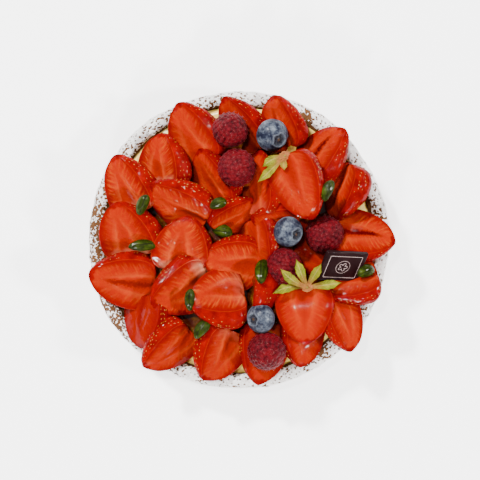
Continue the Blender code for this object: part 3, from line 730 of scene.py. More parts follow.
class Berry:
    """The form of one strawberry half: its low solid's, and the fuller one that is shown."""

    def __init__(self, name):
        heading, roll, length, width, depth, pale, hollow, dark = HALVES[name]
        chance = random.Random(name)
        self.name, self.heading, self.roll = name, heading, roll
        self.length, self.width, self.depth = length, width, depth
        self.pale, self.hollow, self.dark = pale, hollow, dark
        self.lean = chance.uniform(-0.08, 0.08)
        self.lobe = chance.uniform(0.0, 6.28)
        self.dent = chance.uniform(0.15, 0.23)
        self.chance = chance
        # the raised side, and how far the skin comes over it
        self.up = 1.0 if roll > 0 else -1.0
        self.over = OVER.get(name, min(0.12 + 0.0045 * abs(roll), 0.32) + chance.uniform(-0.03, 0.05))
        self.notch = 0.35 * self.dent

    def middle(self, along, share, dent):
        """How far along a point lies and how far its section is shifted aside, in mm."""
        hollow = np.where(along < SHOULDER, dent * np.maximum(0.0, 1 - share * 1.3), 0.0)
        return (along + hollow - 0.5) * self.length, self.lean * self.length * (along - 0.3) ** 2

    def half_width(self, share, turn):
        """The half-width in mm for a share of the greatest, a little uneven round the berry."""
        uneven = 1 + 0.035 * np.sin(2 * turn + self.lobe) + 0.025 * np.sin(3 * turn - self.lobe)
        return share * uneven * self.width / 2

    def solid_skin(self, along, turn):
        """Points of the low solid's skin; turn is 0 up, out of the cut face, and pi down."""
        share = berry_radius(along)
        share = np.where((along > 0.001) & (along < 0.999), share, 0.0)
        across = self.half_width(share, turn)
        x, aside = self.middle(along, share, self.dent)
        y = across * np.sin(turn) + aside
        z = across * np.cos(turn) * 2 * self.depth / self.width
        return np.stack([x, y, z], axis=-1)

    def skin(self, along, turn):
        """Points of the shown skin, round the bottom from one edge of the cut to the other.

        turn is pi/2 at the first edge and 3 pi/2 at the other.
        """
        share = fuller_radius(along)
        across = self.half_width(share, turn)
        deep = across * 2 * self.depth / self.width
        x, aside = self.middle(along, share, self.notch)
        side = np.where(turn < math.pi, 1.0, -1.0)
        raised = side * self.up > 0
        # share of the quarter from the cut's edge (0) to the bottom (1)
        part = np.clip(1 - np.abs(turn - math.pi) / (math.pi / 2), 0, 1)
        waist, split = 0.34, 0.36
        start = math.acos(1 - self.over)
        high = part < split
        alpha = start * (1 - part / split)
        beta = np.clip((part - split) / (1 - split), 0, 1) * math.pi / 2
        y_up = np.where(high, np.cos(alpha), np.cos(beta))
        z_high = -waist + waist * np.sin(alpha) / math.sin(start)
        z_up = np.where(high, z_high, -waist - (1 - waist) * np.sin(beta))
        gamma = part * math.pi / 2
        y = np.where(raised, 0.90 * y_up, np.cos(gamma)) * side
        z = np.where(raised, z_up, -np.sin(gamma))
        droop = 2.2 * step(0.80, 1.02, along) ** 1.5 + 1.2 * step(0.10, -0.02, along)
        return np.stack([x, across * y + aside, deep * z - droop], axis=-1)

    def corners(self):
        """The vertices of the low solid in its own frame."""
        polar = np.arange(BERRY_RINGS + 1) / BERRY_RINGS * math.pi
        turn = np.arange(BERRY_SIDES) / BERRY_SIDES * 2 * math.pi
        along = 0.5 - 0.5 * np.cos(polar)
        a, t = np.meshgrid(along, turn, indexing="ij")
        points = self.solid_skin(a, t).reshape(-1, 3)
        return points[points[:, 2] <= 0.01]


def face_plane(verts, tris, expected):
    """The normal and height of the widest flat area of a solid that faces about the expected way."""
    a, b, c = (verts[tris[:, k]] for k in range(3))
    cross = np.cross(b - a, c - a)
    area = np.linalg.norm(cross, axis=1) / 2
    normal = unit(cross)
    near = normal @ expected > math.cos(math.radians(24))
    best = (0.0, None, None)
    for k in np.flatnonzero(near & (area > 0.5)):
        level = a @ normal[k]
        alike = (normal @ normal[k] > 0.9995) & (np.abs(level - level[k]) < 0.05)
        total = area[alike].sum()
        if total > best[0]:
            best = (total, unit((cross[alike]).sum(0)), float(level[k]))
    return best[1], best[2]


# in mm: how finely the corners' shifts are sorted, and how near the commonest one counts
MATCH_CELL, MATCH_REACH = 0.12, 0.2


def find_frame(berry):
    """The rotation and origin of a berry's own frame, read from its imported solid.

    The rotation comes from the cut face. The origin is the shift that takes the most of the low
    form's corners onto corners of the solid.
    """
    verts, tris = node_arrays(berry.name)
    guess = rotation(berry.heading, 6, berry.roll)
    normal, level = face_plane(verts, tris, guess[:, 2])
    flat = rotation(-berry.heading, 0, 0) @ normal
    roll = -math.asin(np.clip(flat[1], -1, 1))
    if abs(berry.roll) > 90:
        roll = math.copysign(math.pi, berry.roll) - roll
    sign = 1 if abs(roll) < math.pi / 2 else -1
    lift = math.atan2(-flat[0] * sign, flat[2] * sign)
    turn = rotation(berry.heading, math.degrees(lift), math.degrees(roll))
    local = verts @ turn
    local[:, 2] -= level
    corners = berry.corners()
    gaps = local[:, None, :] - corners[None, :, :]
    gaps = gaps[np.abs(gaps[..., 2]) < 0.06][:, :2]
    cell = np.round(gaps / MATCH_CELL).astype(int)
    keys, counts = np.unique(cell, axis=0, return_counts=True)
    winner = keys[np.argmax(counts)] * MATCH_CELL
    close = np.linalg.norm(gaps - winner, axis=1) < MATCH_REACH
    shift = np.median(gaps[close], axis=0)
    origin = turn @ np.array([shift[0], shift[1], level])
    return turn, origin


def seed_places(berry):
    """Rows of seeds over the skin, staggered and a little uneven, as shares along and turns."""
    places = []
    row = 0
    x = 0.05
    while x < 0.97:
        girth = float(fuller_radius(x)) * (berry.width + 2 * berry.depth) / 4
        count = max(1, int(round(math.pi * girth / 3.0)))
        for k in range(count):
            t = (k + 0.5 + 0.5 * (row % 2)) / count
            turn = math.pi / 2 + math.pi * t + berry.chance.uniform(-0.10, 0.10)
            if math.pi / 2 + 0.03 < turn < 1.5 * math.pi - 0.03:
                places.append((x + berry.chance.uniform(-0.018, 0.018), turn))
        x += 2.5 / berry.length * (0.9 if x > 0.7 else 1.0)
        row += 1
    return np.array(places)


ROWS, UNDER, FACE = 60, 44, 42


def strawberry(name, seeds):
    """Builds one half: a smooth dimpled skin, and a cut face with a hollow core and raised fibres."""
    berry = Berry(name)
    turn, origin = find_frame(berry)
    polar = (np.arange(ROWS) + 0.35) / (ROWS - 0.3) * math.pi
    along = 0.5 - 0.5 * np.cos(polar)
    sweep = math.pi / 2 + np.arange(UNDER) / (UNDER - 1) * math.pi
    a, t = np.meshgrid(along, sweep, indexing="ij")
    skin = berry.skin(a, t)
    left, right = skin[:, 0], skin[:, -1]
    places = seed_places(berry)
    spots = berry.skin(places[:, 0], places[:, 1])
    flat = skin.reshape(-1, 3)
    gap = np.sqrt(((flat[:, None, :] - spots[None, :, :]) ** 2).sum(-1)).min(1).reshape(skin.shape[:2])
    normal = unit(np.cross(np.gradient(skin, axis=1), np.gradient(skin, axis=0)))
    normal *= np.where(np.sum(normal * skin, axis=-1, keepdims=True) < 0, -1.0, 1.0)
    edge = np.minimum(t - math.pi / 2, 1.5 * math.pi - t)
    fade = step(0.0, 0.2, edge) * step(0.01, 0.06, a)
    swell = 0.30 * layered(skin + 40.0 * berry.lobe, 7.0, 3) - 0.40 * np.exp(-((gap / 0.85) ** 2)) + 0.12
    skin = skin + normal * (swell * fade)[..., None]

    # the cut face: rows run from the middle line out to the skin, which is where the fibres run
    v = np.linspace(-1, 1, FACE + 2)[1:-1]
    share = ((1 - np.cos(polar)) / 2) ** 1.25
    top = (berry.notch - 0.5) * berry.length
    middle = (left + right) / 2
    middle[:, 0] = top + (berry.length / 2 - top) * share
    out = np.abs(v)[None, :, None] ** 0.92
    nearer = np.where(v[None, :, None] > 0, right[:, None, :], left[:, None, :])
    face = middle[:, None, :] * (1 - out) + nearer * out
    away = np.abs(v)[None, :] * np.ones((ROWS, 1))
    down = share[:, None] * np.ones((1, FACE))
    crown = 0.7 * (1 - away**2) * np.sin(math.pi * np.clip(down, 0, 1))
    pit = berry.hollow * np.exp(-((away / (0.10 + 0.12 * (1 - down))) ** 2))
    pit = pit * (1 - step(0.25, 0.66, down)) * step(0.0, 0.05, down + 0.04)
    core = away + 0.42 * down
    groove = 0.35 * np.exp(-(((core - 0.46) / 0.06) ** 2)) * (1 - step(0.5, 0.8, down))
    rays = np.stack([(down - 0.2 * away) * 15, away * 1.6, np.full_like(down, berry.lobe * 7)], -1)
    fine = (0.05 + 0.12 * FIBRES.get(name, PLAIN_FIBRES)) * noise(rays, 1.0, 5) * step(0.15, 0.4, away)
    wave = 0.30 * layered(face + 31.0 * berry.lobe, 6.0, 9) * (1 - away**4)
    raised = np.sign(-v)[None, :] * berry.up > 0
    bead = 0.22 * np.exp(-(((away - 0.955) / 0.03) ** 2)) * raised
    face[..., 2] += crown - pit - groove + fine + wave + bead

    ring = np.concatenate([skin, face[:, ::-1]], axis=1)
    count = UNDER + FACE
    verts = np.concatenate([ring.reshape(-1, 3), ring[0].mean(0)[None], ring[-1].mean(0)[None]])
    quads = grid_quads(ROWS, count, wrap=True)
    around = np.arange(count)
    after = np.roll(around, -1)
    hull_fan = np.stack([after, around, np.full(count, ROWS * count)], -1)
    last = (ROWS - 1) * count
    tip_fan = np.stack([around + last, after + last, np.full(count, ROWS * count + 1)], -1)

    fruit = np.zeros((ROWS, count, 3))
    fruit[..., 0] = along[:, None]
    fruit[:, UNDER:, 0] = down[:, ::-1]
    fruit[:, UNDER:, 1] = v[::-1][None, :]
    fruit[:, :UNDER, 1] = np.cos(sweep - math.pi / 2)[None, :]
    fruit[:, :UNDER, 2] = 1.0
    fruit[:, UNDER:, 2] = step(0.90, 0.93, down[:, ::-1] + 0.012 * np.sin(9 * v[None, :]))
    fruit = np.concatenate([fruit.reshape(-1, 3), [[0, 0, 0.5]], [[1, 0, 1.0]]])
    place = verts + berry.lobe * np.array([37.0, -53.0, 71.0])
    pale_hull = 0.75 * step(0.5, 0.9, berry.pale)
    tone = np.tile([berry.pale, berry.dark, float(pale_hull)], (len(verts), 1))
    fibres = FIBRES.get(name, PLAIN_FIBRES)
    core = np.tile([SLITS.get(name, 0.0), fibres, float(name in WET)], (len(verts), 1))
    obj = add_mesh(
        "strawberry_" + name,
        verts @ turn.T + origin,
        [quads[:, ::-1], hull_fan[:, ::-1], tip_fan[:, ::-1]],
        MAT["strawberry"],
        {"fruit": fruit, "place": place, "tone": tone, "core": core},
    )
    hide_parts(name)

    # seeds sit in their dimples, their points towards the tip
    x, angle = places.T
    ahead = unit(berry.skin(x + 0.01, angle) - berry.skin(x - 0.01, angle))
    beside = berry.skin(x, angle + 0.01) - berry.skin(x, angle - 0.01)
    upward = unit(np.cross(ahead, beside))
    upward *= np.where(np.sum(upward * spots, axis=-1, keepdims=True) < 0, -1.0, 1.0)
    keep = (spots[:, 2] < -0.5) & (places[:, 0] > 0.03) & ((upward @ turn.T)[:, 2] > -0.35)
    seeds.append((spots[keep] @ turn.T + origin, ahead[keep] @ turn.T, upward[keep] @ turn.T))


def seeds_piece(groups):
    """All the strawberry seeds as one joined mesh."""
    spots, ahead, upward = (np.concatenate([g[k] for g in groups]) for k in range(3))
    side = np.cross(upward, ahead)
    count = len(spots)
    rings = [(-0.48, 0.22, 0.10), (-0.20, 0.36, 0.22), (0.18, 0.31, 0.19), (0.46, 0.13, 0.08)]
    verts = np.zeros((count, 4, 4, 3))
    for i, (x, wide, tall) in enumerate(rings):
        for k, (across, up) in enumerate(((1, 0.0), (0, 1.0), (-1, 0.0), (0, -0.6))):
            offset = ahead * x + side * (wide * across) + upward * (tall * up - 0.22)
            verts[:, i, k] = spots + offset
    tips = np.stack([spots - ahead * 0.62 - upward * 0.22, spots + ahead * 0.68 - upward * 0.22], axis=1)
    base = np.arange(count)[:, None] * 18
    index = np.arange(16).reshape(4, 4)
    quads = []
    for i in range(3):
        for k in range(4):
            n = (k + 1) % 4
            quads.append([index[i, k], index[i, n], index[i + 1, n], index[i + 1, k]])
    tris = []
    for k in range(4):
        n = (k + 1) % 4
        tris.append([16, index[0, n], index[0, k]])
        tris.append([17, index[3, k], index[3, n]])
    everything = np.concatenate([verts.reshape(count, 16, 3), tips], axis=1).reshape(-1, 3)
    all_quads = (base[:, :, None] + np.array(quads)[None]).reshape(-1, 4)
    all_tris = (base[:, :, None] + np.array(tris)[None]).reshape(-1, 3)
    return add_mesh("strawberry_seeds", everything, [all_quads, all_tris], MAT["seed"])


# ---------------------------------------------------------------- raspberries and blueberries
def ball(levels):
    """Directions and triangles of an even ball."""
    bm = bmesh.new()
    bmesh.ops.create_icosphere(bm, subdivisions=levels, radius=1.0)
    directions = np.array([v.co[:] for v in bm.verts])
    tris = np.array([[v.index for v in f.verts] for f in bm.faces])
    bm.free()
    return unit(directions), tris


BALL, BALL_TRIS = ball(6)
SMALL, SMALL_TRIS = ball(5)


def raspberry(name, hairs):
    """Rows of rounded drupelets around a soft cone, the rows shifted as real ones are."""
    heading, lift = RASPBERRIES[name]
    centre, size = box_centre(name)
    chance = random.Random(name)
    radius = float(np.sort(size)[1]) / 2
    drupe = 0.15
    points = []
    latitude = math.radians(86)
    while latitude > math.radians(-84):
        count = max(1, int(round(2 * math.pi * math.cos(latitude) / (2 * drupe * 0.98))))
        offset = chance.uniform(0, 6.28)
        for k in range(count):
            turn = offset + 2 * math.pi * k / count + chance.uniform(-0.05, 0.05)
            tilt = latitude + chance.uniform(-0.025, 0.025)
            points.append((math.sin(tilt), math.cos(tilt) * math.cos(turn), math.cos(tilt) * math.sin(turn)))
        latitude -= drupe * 1.72
    points = np.array(points)
    sizes = np.array([drupe * chance.uniform(0.92, 1.1) for _ in points])
    gap = np.sqrt(((BALL[:, None, :] - points[None, :, :]) ** 2).sum(-1))
    height = np.sqrt(np.maximum(0.0, 1 - (gap / (sizes[None, :] * 1.22)) ** 2)) * sizes[None, :]
    bulge = height.max(1)
    shape = 0.89 + bulge * 0.68
    cone = 1 - 0.10 * np.clip(BALL[:, 0], -1, 1)
    local = BALL * (shape * radius)[:, None]
    local[:, 1:] *= cone[:, None]
    local[:, 0] *= 0.96
    turn = rotation(heading, lift, 0)
    verts = local @ turn.T + centre
    fruit = np.stack([bulge / bulge.max(), np.zeros(len(BALL)), np.zeros(len(BALL))], -1)
    obj = add_mesh(name + "_fruit", verts, [BALL_TRIS], MAT["raspberry"], {"fruit": fruit})
    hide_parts(name)
    for direction, reach in zip(points, sizes):
        for _ in range(chance.choice((0, 1, 1, 2))):
            root = direction * (0.875 + reach * 0.68) * radius
            length = chance.uniform(1.4, 3.0)
            hairs.append((root @ turn.T + centre, direction @ turn.T, length, chance.uniform(0, 6.28)))


def hairs_piece(hairs):
    """The thin styles left on the drupelets, as one joined mesh of bent, tapered threads."""
    verts, quads = [], []
    for root, direction, length, twist in hairs:
        side = np.cross(direction, [math.cos(twist), math.sin(twist), 0.3])
        side = side / max(np.linalg.norm(side), 1e-6)
        other = np.cross(direction, side)
        for i in range(4):
            t = i / 3
            spot = root + direction * (0.9 * length * t * (1 - t) + 0.1) + side * length * 0.8 * t
            thin = 0.09 * (1 - 0.7 * t)
            for k in range(3):
                turn = 2 * math.pi * k / 3
                verts.append(spot + (side * math.cos(turn) + other * math.sin(turn)) * thin)
            if i:
                base = len(verts) - 6
                for k in range(3):
                    n = (k + 1) % 3
                    quads.append([base + k, base + n, base + 3 + n, base + 3 + k])
    return add_mesh("raspberry_hairs", verts, [np.array(quads)], MAT["hair"])


def blueberry(name):
    """A slightly squashed ball with a five-pointed crown around a hollow."""
    heading, lift = BLUEBERRIES[name]
    centre, size = box_centre(name)
    chance = random.Random(name)
    radius = float(np.median(size)) / 2
    angle = np.arccos(np.clip(BALL[:, 0], -1, 1))
    turn = np.arctan2(BALL[:, 2], BALL[:, 1])
    phase = chance.uniform(0, 6.28)
    petals = 0.40 + 0.07 * np.abs(np.cos(2.5 * turn + phase)) + 0.03 * noise(BALL * 3, 0.5, 7)
    lip = np.exp(-(((angle - petals) / 0.055) ** 2))
    pit = 1 - step(petals - 0.14, petals - 0.02, angle)
    shape = 1 + 0.075 * lip - 0.15 * pit + 0.008 * layered(BALL * 9, 3.0, 5)
    dimple = -0.03 * np.exp(-(((angle - 0.62) / 0.16) ** 2)) + 0.05 * np.exp(-((angle / 0.08) ** 2))
    local = BALL * ((shape + dimple) * radius)[:, None]
    local[:, 0] *= 0.90
    verts = local @ rotation(heading, lift, 0).T + centre
    fruit = np.stack([pit, lip, 1 - step(0.05, 0.16, angle)], -1)
    obj = add_mesh(name + "_fruit", verts, [BALL_TRIS], MAT["blueberry"], {"fruit": fruit})
    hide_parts(name)


# ---------------------------------------------------------------- nuts, leaves and the plaque
def main_axes(name):
    """A solid's centre and its long, middle and short directions, from how its surface is spread."""
    verts, tris = node_arrays(name)
    a, b, c = (verts[tris[:, k]] for k in range(3))
    area = np.linalg.norm(np.cross(b - a, c - a), axis=1)
    middle = (a + b + c) / 3
    centre = (middle * area[:, None]).sum(0) / area.sum()
    spread = ((middle - centre) * area[:, None]).T @ (middle - centre)
    vectors = np.linalg.eigh(spread)[1]
    axes = vectors[:, ::-1].T
    return centre, axes, verts


def pistachio(name):
    """A kernel with a lengthwise split and fine wrinkles."""
    _, axes, verts = main_axes(name)
    centre, _ = box_centre(name)
    long = axes[0]
    up = np.array([0.0, 0.0, 1.0])
    up = unit(up - long * (up @ long))
    side = np.cross(up, long)
    reach = (verts - centre) @ long
    half = (reach.max() - reach.min()) / 2
    wide = np.abs((verts - centre) @ side).max()
    chance = random.Random(name)
    twist = chance.uniform(-0.7, 0.7)
    lean = chance.uniform(0.6, 1.0)
    x, y, z = SMALL[:, 0], SMALL[:, 1], SMALL[:, 2]
    girth = 1 - 0.16 * x * lean
    seam = np.exp(-(((y - twist * 0.4 - 0.12 * np.sin(2 * x)) / 0.10) ** 2)) * (z > 0) * (1 - x**6)
    wrinkle = layered(np.stack([x * 2.2, y * 6, z * 6], -1) + 11 * lean, 1.1, 21)
    shape = 1 - 0.10 * seam + 0.045 * wrinkle
    thick = wide * girth * shape
    local = np.stack([x * half * (1 + 0.02 * wrinkle), y * thick, z * 0.84 * thick], -1)
    local[:, 1] += 0.6 * (x**2 - 0.3)
    world = local[:, :1] * long + local[:, 1:2] * side + local[:, 2:] * up + centre
    crease = np.clip(seam + np.maximum(0, -wrinkle - 0.35) * 1.2, 0, 1)
    fruit = np.stack([crease, x, np.zeros(len(SMALL))], -1)
    obj = add_mesh(name + "_kernel", world, [SMALL_TRIS], MAT["pistachio"], {"fruit": fruit})
    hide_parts(name)


def calyx(name):
    """Thin curled leaves that follow the solid's own leaves, around a rough hull."""
    verts, tris = node_arrays(name)
    tree = BVHTree.FromPolygons(verts.tolist(), tris.tolist())
    x0, y0 = CALYX_AT[name]
    chance = random.Random(name)
    all_verts, all_quads, fruit = [], [], []
    total = 0
    rows, columns = 40, 13
    below = Vector((0, 0, -1))
    hub_top = tree.ray_cast(Vector((x0, y0, 200)), below)[0]
    level = hub_top.z if hub_top else box_centre(name)[0][2]
    for heading, length, width in LEAVES[name]:
        h = math.radians(heading)
        ahead = np.array([math.cos(h), math.sin(h), 0.0])
        side = np.array([-ahead[1], ahead[0], 0.0])
        t = np.linspace(0.0, 1.0, rows)
        spine = []
        for share in t:
            spot = np.array([x0, y0, 200.0]) + ahead * length * min(share, 0.985)
            hit = tree.ray_cast(Vector(spot.tolist()), below)[0]
            spine.append(hit.z if hit else np.nan)
        spine = np.array(spine)
        good = ~np.isnan(spine)
        spine = np.interp(t, t[good], spine[good])
        spine = np.convolve(np.pad(spine, 3, mode="edge"), np.ones(7) / 7, mode="valid")
        # narrow at the hull, widest past the middle, drawn out to a point
        half = width / 2 * (0.42 + 0.42 * step(0.15, 0.6, t)) * (1 - step(0.62, 1.02, t) ** 1.3)
        half = half * (1 + 0.07 * np.sin(t * 34 + chance.uniform(0, 6)) * step(0.4, 0.6, t))
        bend = chance.uniform(-0.10, 0.10)
        twist = chance.uniform(-0.45, 0.45)
        v = np.linspace(-1, 1, columns)
        centre_line = np.array([x0, y0, 0.0]) + t[:, None] * ahead * length
        centre_line = centre_line + (bend * length * np.sin(math.pi * t))[:, None] * side
        grid = centre_line[:, None, :] + side * (v[None, :] * half[:, None])[..., None]
        curl = 0.75 * v[None, :] ** 2 * half[:, None] * (0.25 + 0.5 * t[:, None])
        tilt = twist * v[None, :] * half[:, None] * step(0.3, 0.8, t)[:, None]
        crease = 0.22 * np.exp(-((v / 0.2) ** 2))[None, :]
        grid[..., 2] = spine[:, None] + 0.1 + curl + tilt - crease + 0.5 * step(0.6, 1.0, t)[:, None]
        grid[..., 2] += 0.16 * layered(grid, 3.0, 13)
        under = grid.copy()
        under[..., 2] -= 0.32
        tt, vv = np.meshgrid(t, v, indexing="ij")
        dry = np.full_like(tt, chance.uniform(0.0, 0.25) + (0.5 if length < 12 else 0.0))
        for sheet in (grid, under):
            quads = grid_quads(rows, columns, first=total)
            all_quads.append(quads[:, ::-1] if sheet is grid else quads)
            all_verts.append(sheet.reshape(-1, 3))
            fruit.append(np.stack([tt, vv, dry], -1).reshape(-1, 3))
            total += rows * columns
        ring = np.concatenate([np.arange(rows) * columns, np.arange(rows)[::-1] * columns + columns - 1])
        ring = ring + total - 2 * rows * columns
        lower = ring + rows * columns
        all_quads.append(np.stack([ring, np.roll(ring, -1), np.roll(lower, -1), lower], -1))
    # the hull where the leaves meet, with the stub of the stalk
    hub = SMALL * [3.4, 2.6, 1.3] * (1 + 0.18 * layered(SMALL * 6, 2.2, 31))[:, None]
    stub = np.exp(-((np.hypot(SMALL[:, 0], SMALL[:, 1]) / 0.24) ** 2)) * (SMALL[:, 2] > 0)
    hub[:, 2] += 1.1 * stub
    hub += [x0, y0, level - 1.3]
    all_verts.append(hub)
    fruit.append(np.stack([0.12 + 0.4 * stub, SMALL[:, 0], 0.5 * (1 - stub)], -1))
    obj = add_mesh(
        name + "_leaves",
        np.concatenate(all_verts),
        [np.concatenate(all_quads), SMALL_TRIS + total],
        MAT["leaf"],
        {"fruit": np.concatenate(fruit)},
    )
    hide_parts(name)


def bar(points, width, height, origin, axes):
    """A thin raised line along points given in a plane."""
    verts, quads = [], []
    count = len(points)
    for i, p in enumerate(points):
        q = points[(i + 1) % count]
        o = points[i - 1]
        d = np.array([q[0] - o[0], q[1] - o[1]])
        d = d / max(np.linalg.norm(d), 1e-9)
        n = np.array([-d[1], d[0]])
        for across, up in ((-1, 0), (-1, 1), (1, 1), (1, 0)):
            flat = np.array(p) + n * across * width / 2
            verts.append(origin + axes[0] * flat[0] + axes[1] * flat[1] + axes[2] * (up * height))
    for i in range(count):
        n = (i + 1) % count
        for k in range(3):
            quads.append([i * 4 + k, n * 4 + k, n * 4 + k + 1, i * 4 + k + 1])
    return verts, quads


def plaque():
    """A slab of chocolate with softened, slightly uneven edges, a thin border line and a plain rosette."""
    verts, _ = node_arrays("plaque")
    long, wide, thin = rotation(-3, -24, 36).T
    local = verts @ np.stack([long, wide, thin]).T
    low, high = local.min(0), local.max(0)
    middle = (low + high) / 2
    centre = long * middle[0] + wide * middle[1] + thin * middle[2]
    size = high - low
    bm = bmesh.new()
    bmesh.ops.create_cube(bm, size=1.0)
    for v in bm.verts:
        v.co = Vector((v.co.x * size[0], v.co.y * size[1], v.co.z * size[2]))
    bmesh.ops.bevel(bm, geom=bm.edges[:], offset=0.55, segments=3, profile=0.6, affect="EDGES")
    long_edges = [e for e in bm.edges if e.calc_length() > 4]
    bmesh.ops.subdivide_edges(bm, edges=long_edges, cuts=24, use_grid_fill=True)
    bmesh.ops.triangulate(bm, faces=bm.faces[:])
    points = np.array([v.co[:] for v in bm.verts])
    tris = np.array([[v.index for v in f.verts] for f in bm.faces])
    bm.free()
    points += 0.07 * layered(points + 5, 5.0, 41)[:, None] * [0.6, 0.6, 1.0]
    world = points @ np.stack([long, wide, thin]) + centre
    obj = add_mesh("plaque_slab", world, [tris], MAT["chocolate"])
    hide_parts("plaque")
    lines_v, lines_q = [], []
    hx, hy = size[0] / 2 - 3.0, size[1] / 2 - 2.6
    border = []
    for cx, cy, start in ((hx, hy, 0), (-hx, hy, 90), (-hx, -hy, 180), (hx, -hy, 270)):
        for k in range(5):
            turn = math.radians(start + k * 22.5)
            x = cx + 0.5 * (math.cos(turn) - np.sign(cx))
            y = cy + 0.5 * (math.sin(turn) - np.sign(cy))
            border.append((x, y))
    rosette = []
    for k in range(120):
        turn = 2 * math.pi * k / 120
        reach = 2.9 * (0.42 + 0.58 * abs(math.cos(2.5 * turn)))
        rosette.append((reach * math.cos(turn), reach * math.sin(turn)))
    stem = [(4.4 * math.cos(2 * math.pi * k / 80), 4.4 * math.sin(2 * math.pi * k / 80)) for k in range(80)]
    face = centre + thin * (size[2] / 2 - 0.02)
    for points_2d, width in ((border, 0.27), (rosette, 0.28), (stem, 0.22)):
        v, q = bar(points_2d, width, 0.09, face, (long, wide, thin))
        lines_q.append(np.array(q) + sum(len(x) for x in lines_v))
        lines_v.append(np.array(v))
    verts, quads = np.concatenate(lines_v), np.concatenate(lines_q)
    add_mesh("plaque_lines", verts, [quads], MAT["print"], smooth=False)


# ---------------------------------------------------------------- crust, sugar, cream and glaze
def shell_wobble(angle):
    """The same uneven rim as the solid's."""
    out = 0.7 * np.sin(2 * angle + 0.9) + 0.45 * np.sin(5 * angle + 2.0) + 0.3 * np.sin(9 * angle)
    out = out + 1.6 * np.exp(-(((angle + 0.75) / 0.35) ** 2))
    up = 0.35 * np.sin(3 * angle + 1.1) + 0.25 * np.sin(7 * angle + 0.4)
    return out, up


def evenly(curve, count):
    """A curve divided into points at equal distances, and its length."""
    length = np.concatenate([[0], np.cumsum(np.linalg.norm(np.diff(curve, axis=0), axis=1))])
    even = np.linspace(0, length[-1], count)
    points = np.stack([np.interp(even, length, curve[:, k]) for k in (0, 1)], -1)
    return points, length[-1]


def smooth_profile(points, count):
    """A Catmull-Rom curve through the points, evenly divided."""
    p = np.array(points, float)
    p = np.concatenate([[2 * p[0] - p[1]], p, [2 * p[-1] - p[-2]]])
    curve = []
    for i in range(1, len(p) - 2):
        for t in np.linspace(0, 1, 12, endpoint=False):
            a, b, c, d = p[i - 1], p[i], p[i + 1], p[i + 2]
            square, cube = 2 * a - 5 * b + 4 * c - d, 3 * b - a - 3 * c + d
            curve.append(0.5 * (2 * b + (c - a) * t + square * t**2 + cube * t**3))
    curve.append(p[-2])
    return evenly(np.array(curve), count)[0]


INNER = TART_RADIUS - RIM_WIDTH
CRUST_PROFILE = [
    (INNER - 6.5, FLOOR_THICKNESS),
    (INNER - 3.4, FLOOR_THICKNESS + 2.0),
    (INNER - 2.4, 13.0),
    (INNER - 1.2, CREAM_LEVEL),
    (INNER + 0.6, RIM_HEIGHT - 1.6),
    (INNER + 2.6, RIM_HEIGHT - 0.2),
    (TART_RADIUS - 3.6, RIM_HEIGHT),
    (TART_RADIUS - 1.2, RIM_HEIGHT - 1.2),
    (TART_RADIUS - 0.2, RIM_HEIGHT - 3.6),
    (TART_RADIUS - 1.4, 14.0),
    (TART_RADIUS - 2.9, 2.4),
    (TART_RADIUS - 4.6, 0.3),
]


def round_grid(profile, around):
    """The radius, height and angle at each point of a profile turned round the tart."""
    angle = np.linspace(-math.pi, math.pi, around, endpoint=False)
    r, a = np.meshgrid(profile[:, 0], angle, indexing="ij")
    z = np.meshgrid(profile[:, 1], angle, indexing="ij")[0]
    return r, z, a


def closed_rings(points, top, bottom):
    """The vertices and faces of rings of points, with a fan to the middle at each end."""
    rows, around = points.shape[:2]
    verts = np.concatenate([points.reshape(-1, 3), [[0, 0, top], [0, 0, bottom]]])
    k = np.arange(around)
    n = np.roll(k, -1)
    last = (rows - 1) * around
    lid = np.stack([k, n, np.full(around, rows * around)], -1)
    base = np.stack([n + last, k + last, np.full(around, rows * around + 1)], -1)
    return verts, [grid_quads(rows, around, wrap=True), lid, base]


def only_used(points, quads):
    """The points that the quads use, and the quads numbered to match."""
    used = np.unique(quads)
    number = np.full(len(points), -1)
    number[used] = np.arange(len(used))
    return points[used], number[quads]


def shell_surface(profile, around, lift=0.0):
    """The shell's surface over a grid of profile points and angles, with its crumbly relief."""
    r, z, a = round_grid(profile, around)
    out, up = shell_wobble(a)
    share = np.clip(z / RIM_HEIGHT, 0, 1)
    r = r + out * share * (r > INNER - 0.2)
    z = z + up * np.clip((z - 14) / 14, 0, 1)
    points = np.stack([r * np.cos(a), r * np.sin(a), z], -1)
    slope = np.gradient(profile, axis=0)
    normal_r = slope[:, 1] / np.hypot(slope[:, 0], slope[:, 1])
    normal_z = -slope[:, 0] / np.hypot(slope[:, 0], slope[:, 1])
    normal_r, normal_z = -normal_r[:, None], -normal_z[:, None]
    normal = np.stack([normal_r * np.cos(a), normal_r * np.sin(a), normal_z * np.ones_like(a)], -1)
    relief = 0.34 * layered(points, 5.0, 51, 4) + 0.16 * layered(points, 1.3, 57, 2)
    pits = -0.5 * step(0.55, 0.85, noise(points, 1.9, 61))
    fade = step(0.3, 2.0, z) * 0.9 + 0.1
    points = points + normal * ((relief + pits) * fade + lift)[..., None]
    return points, a, relief + pits


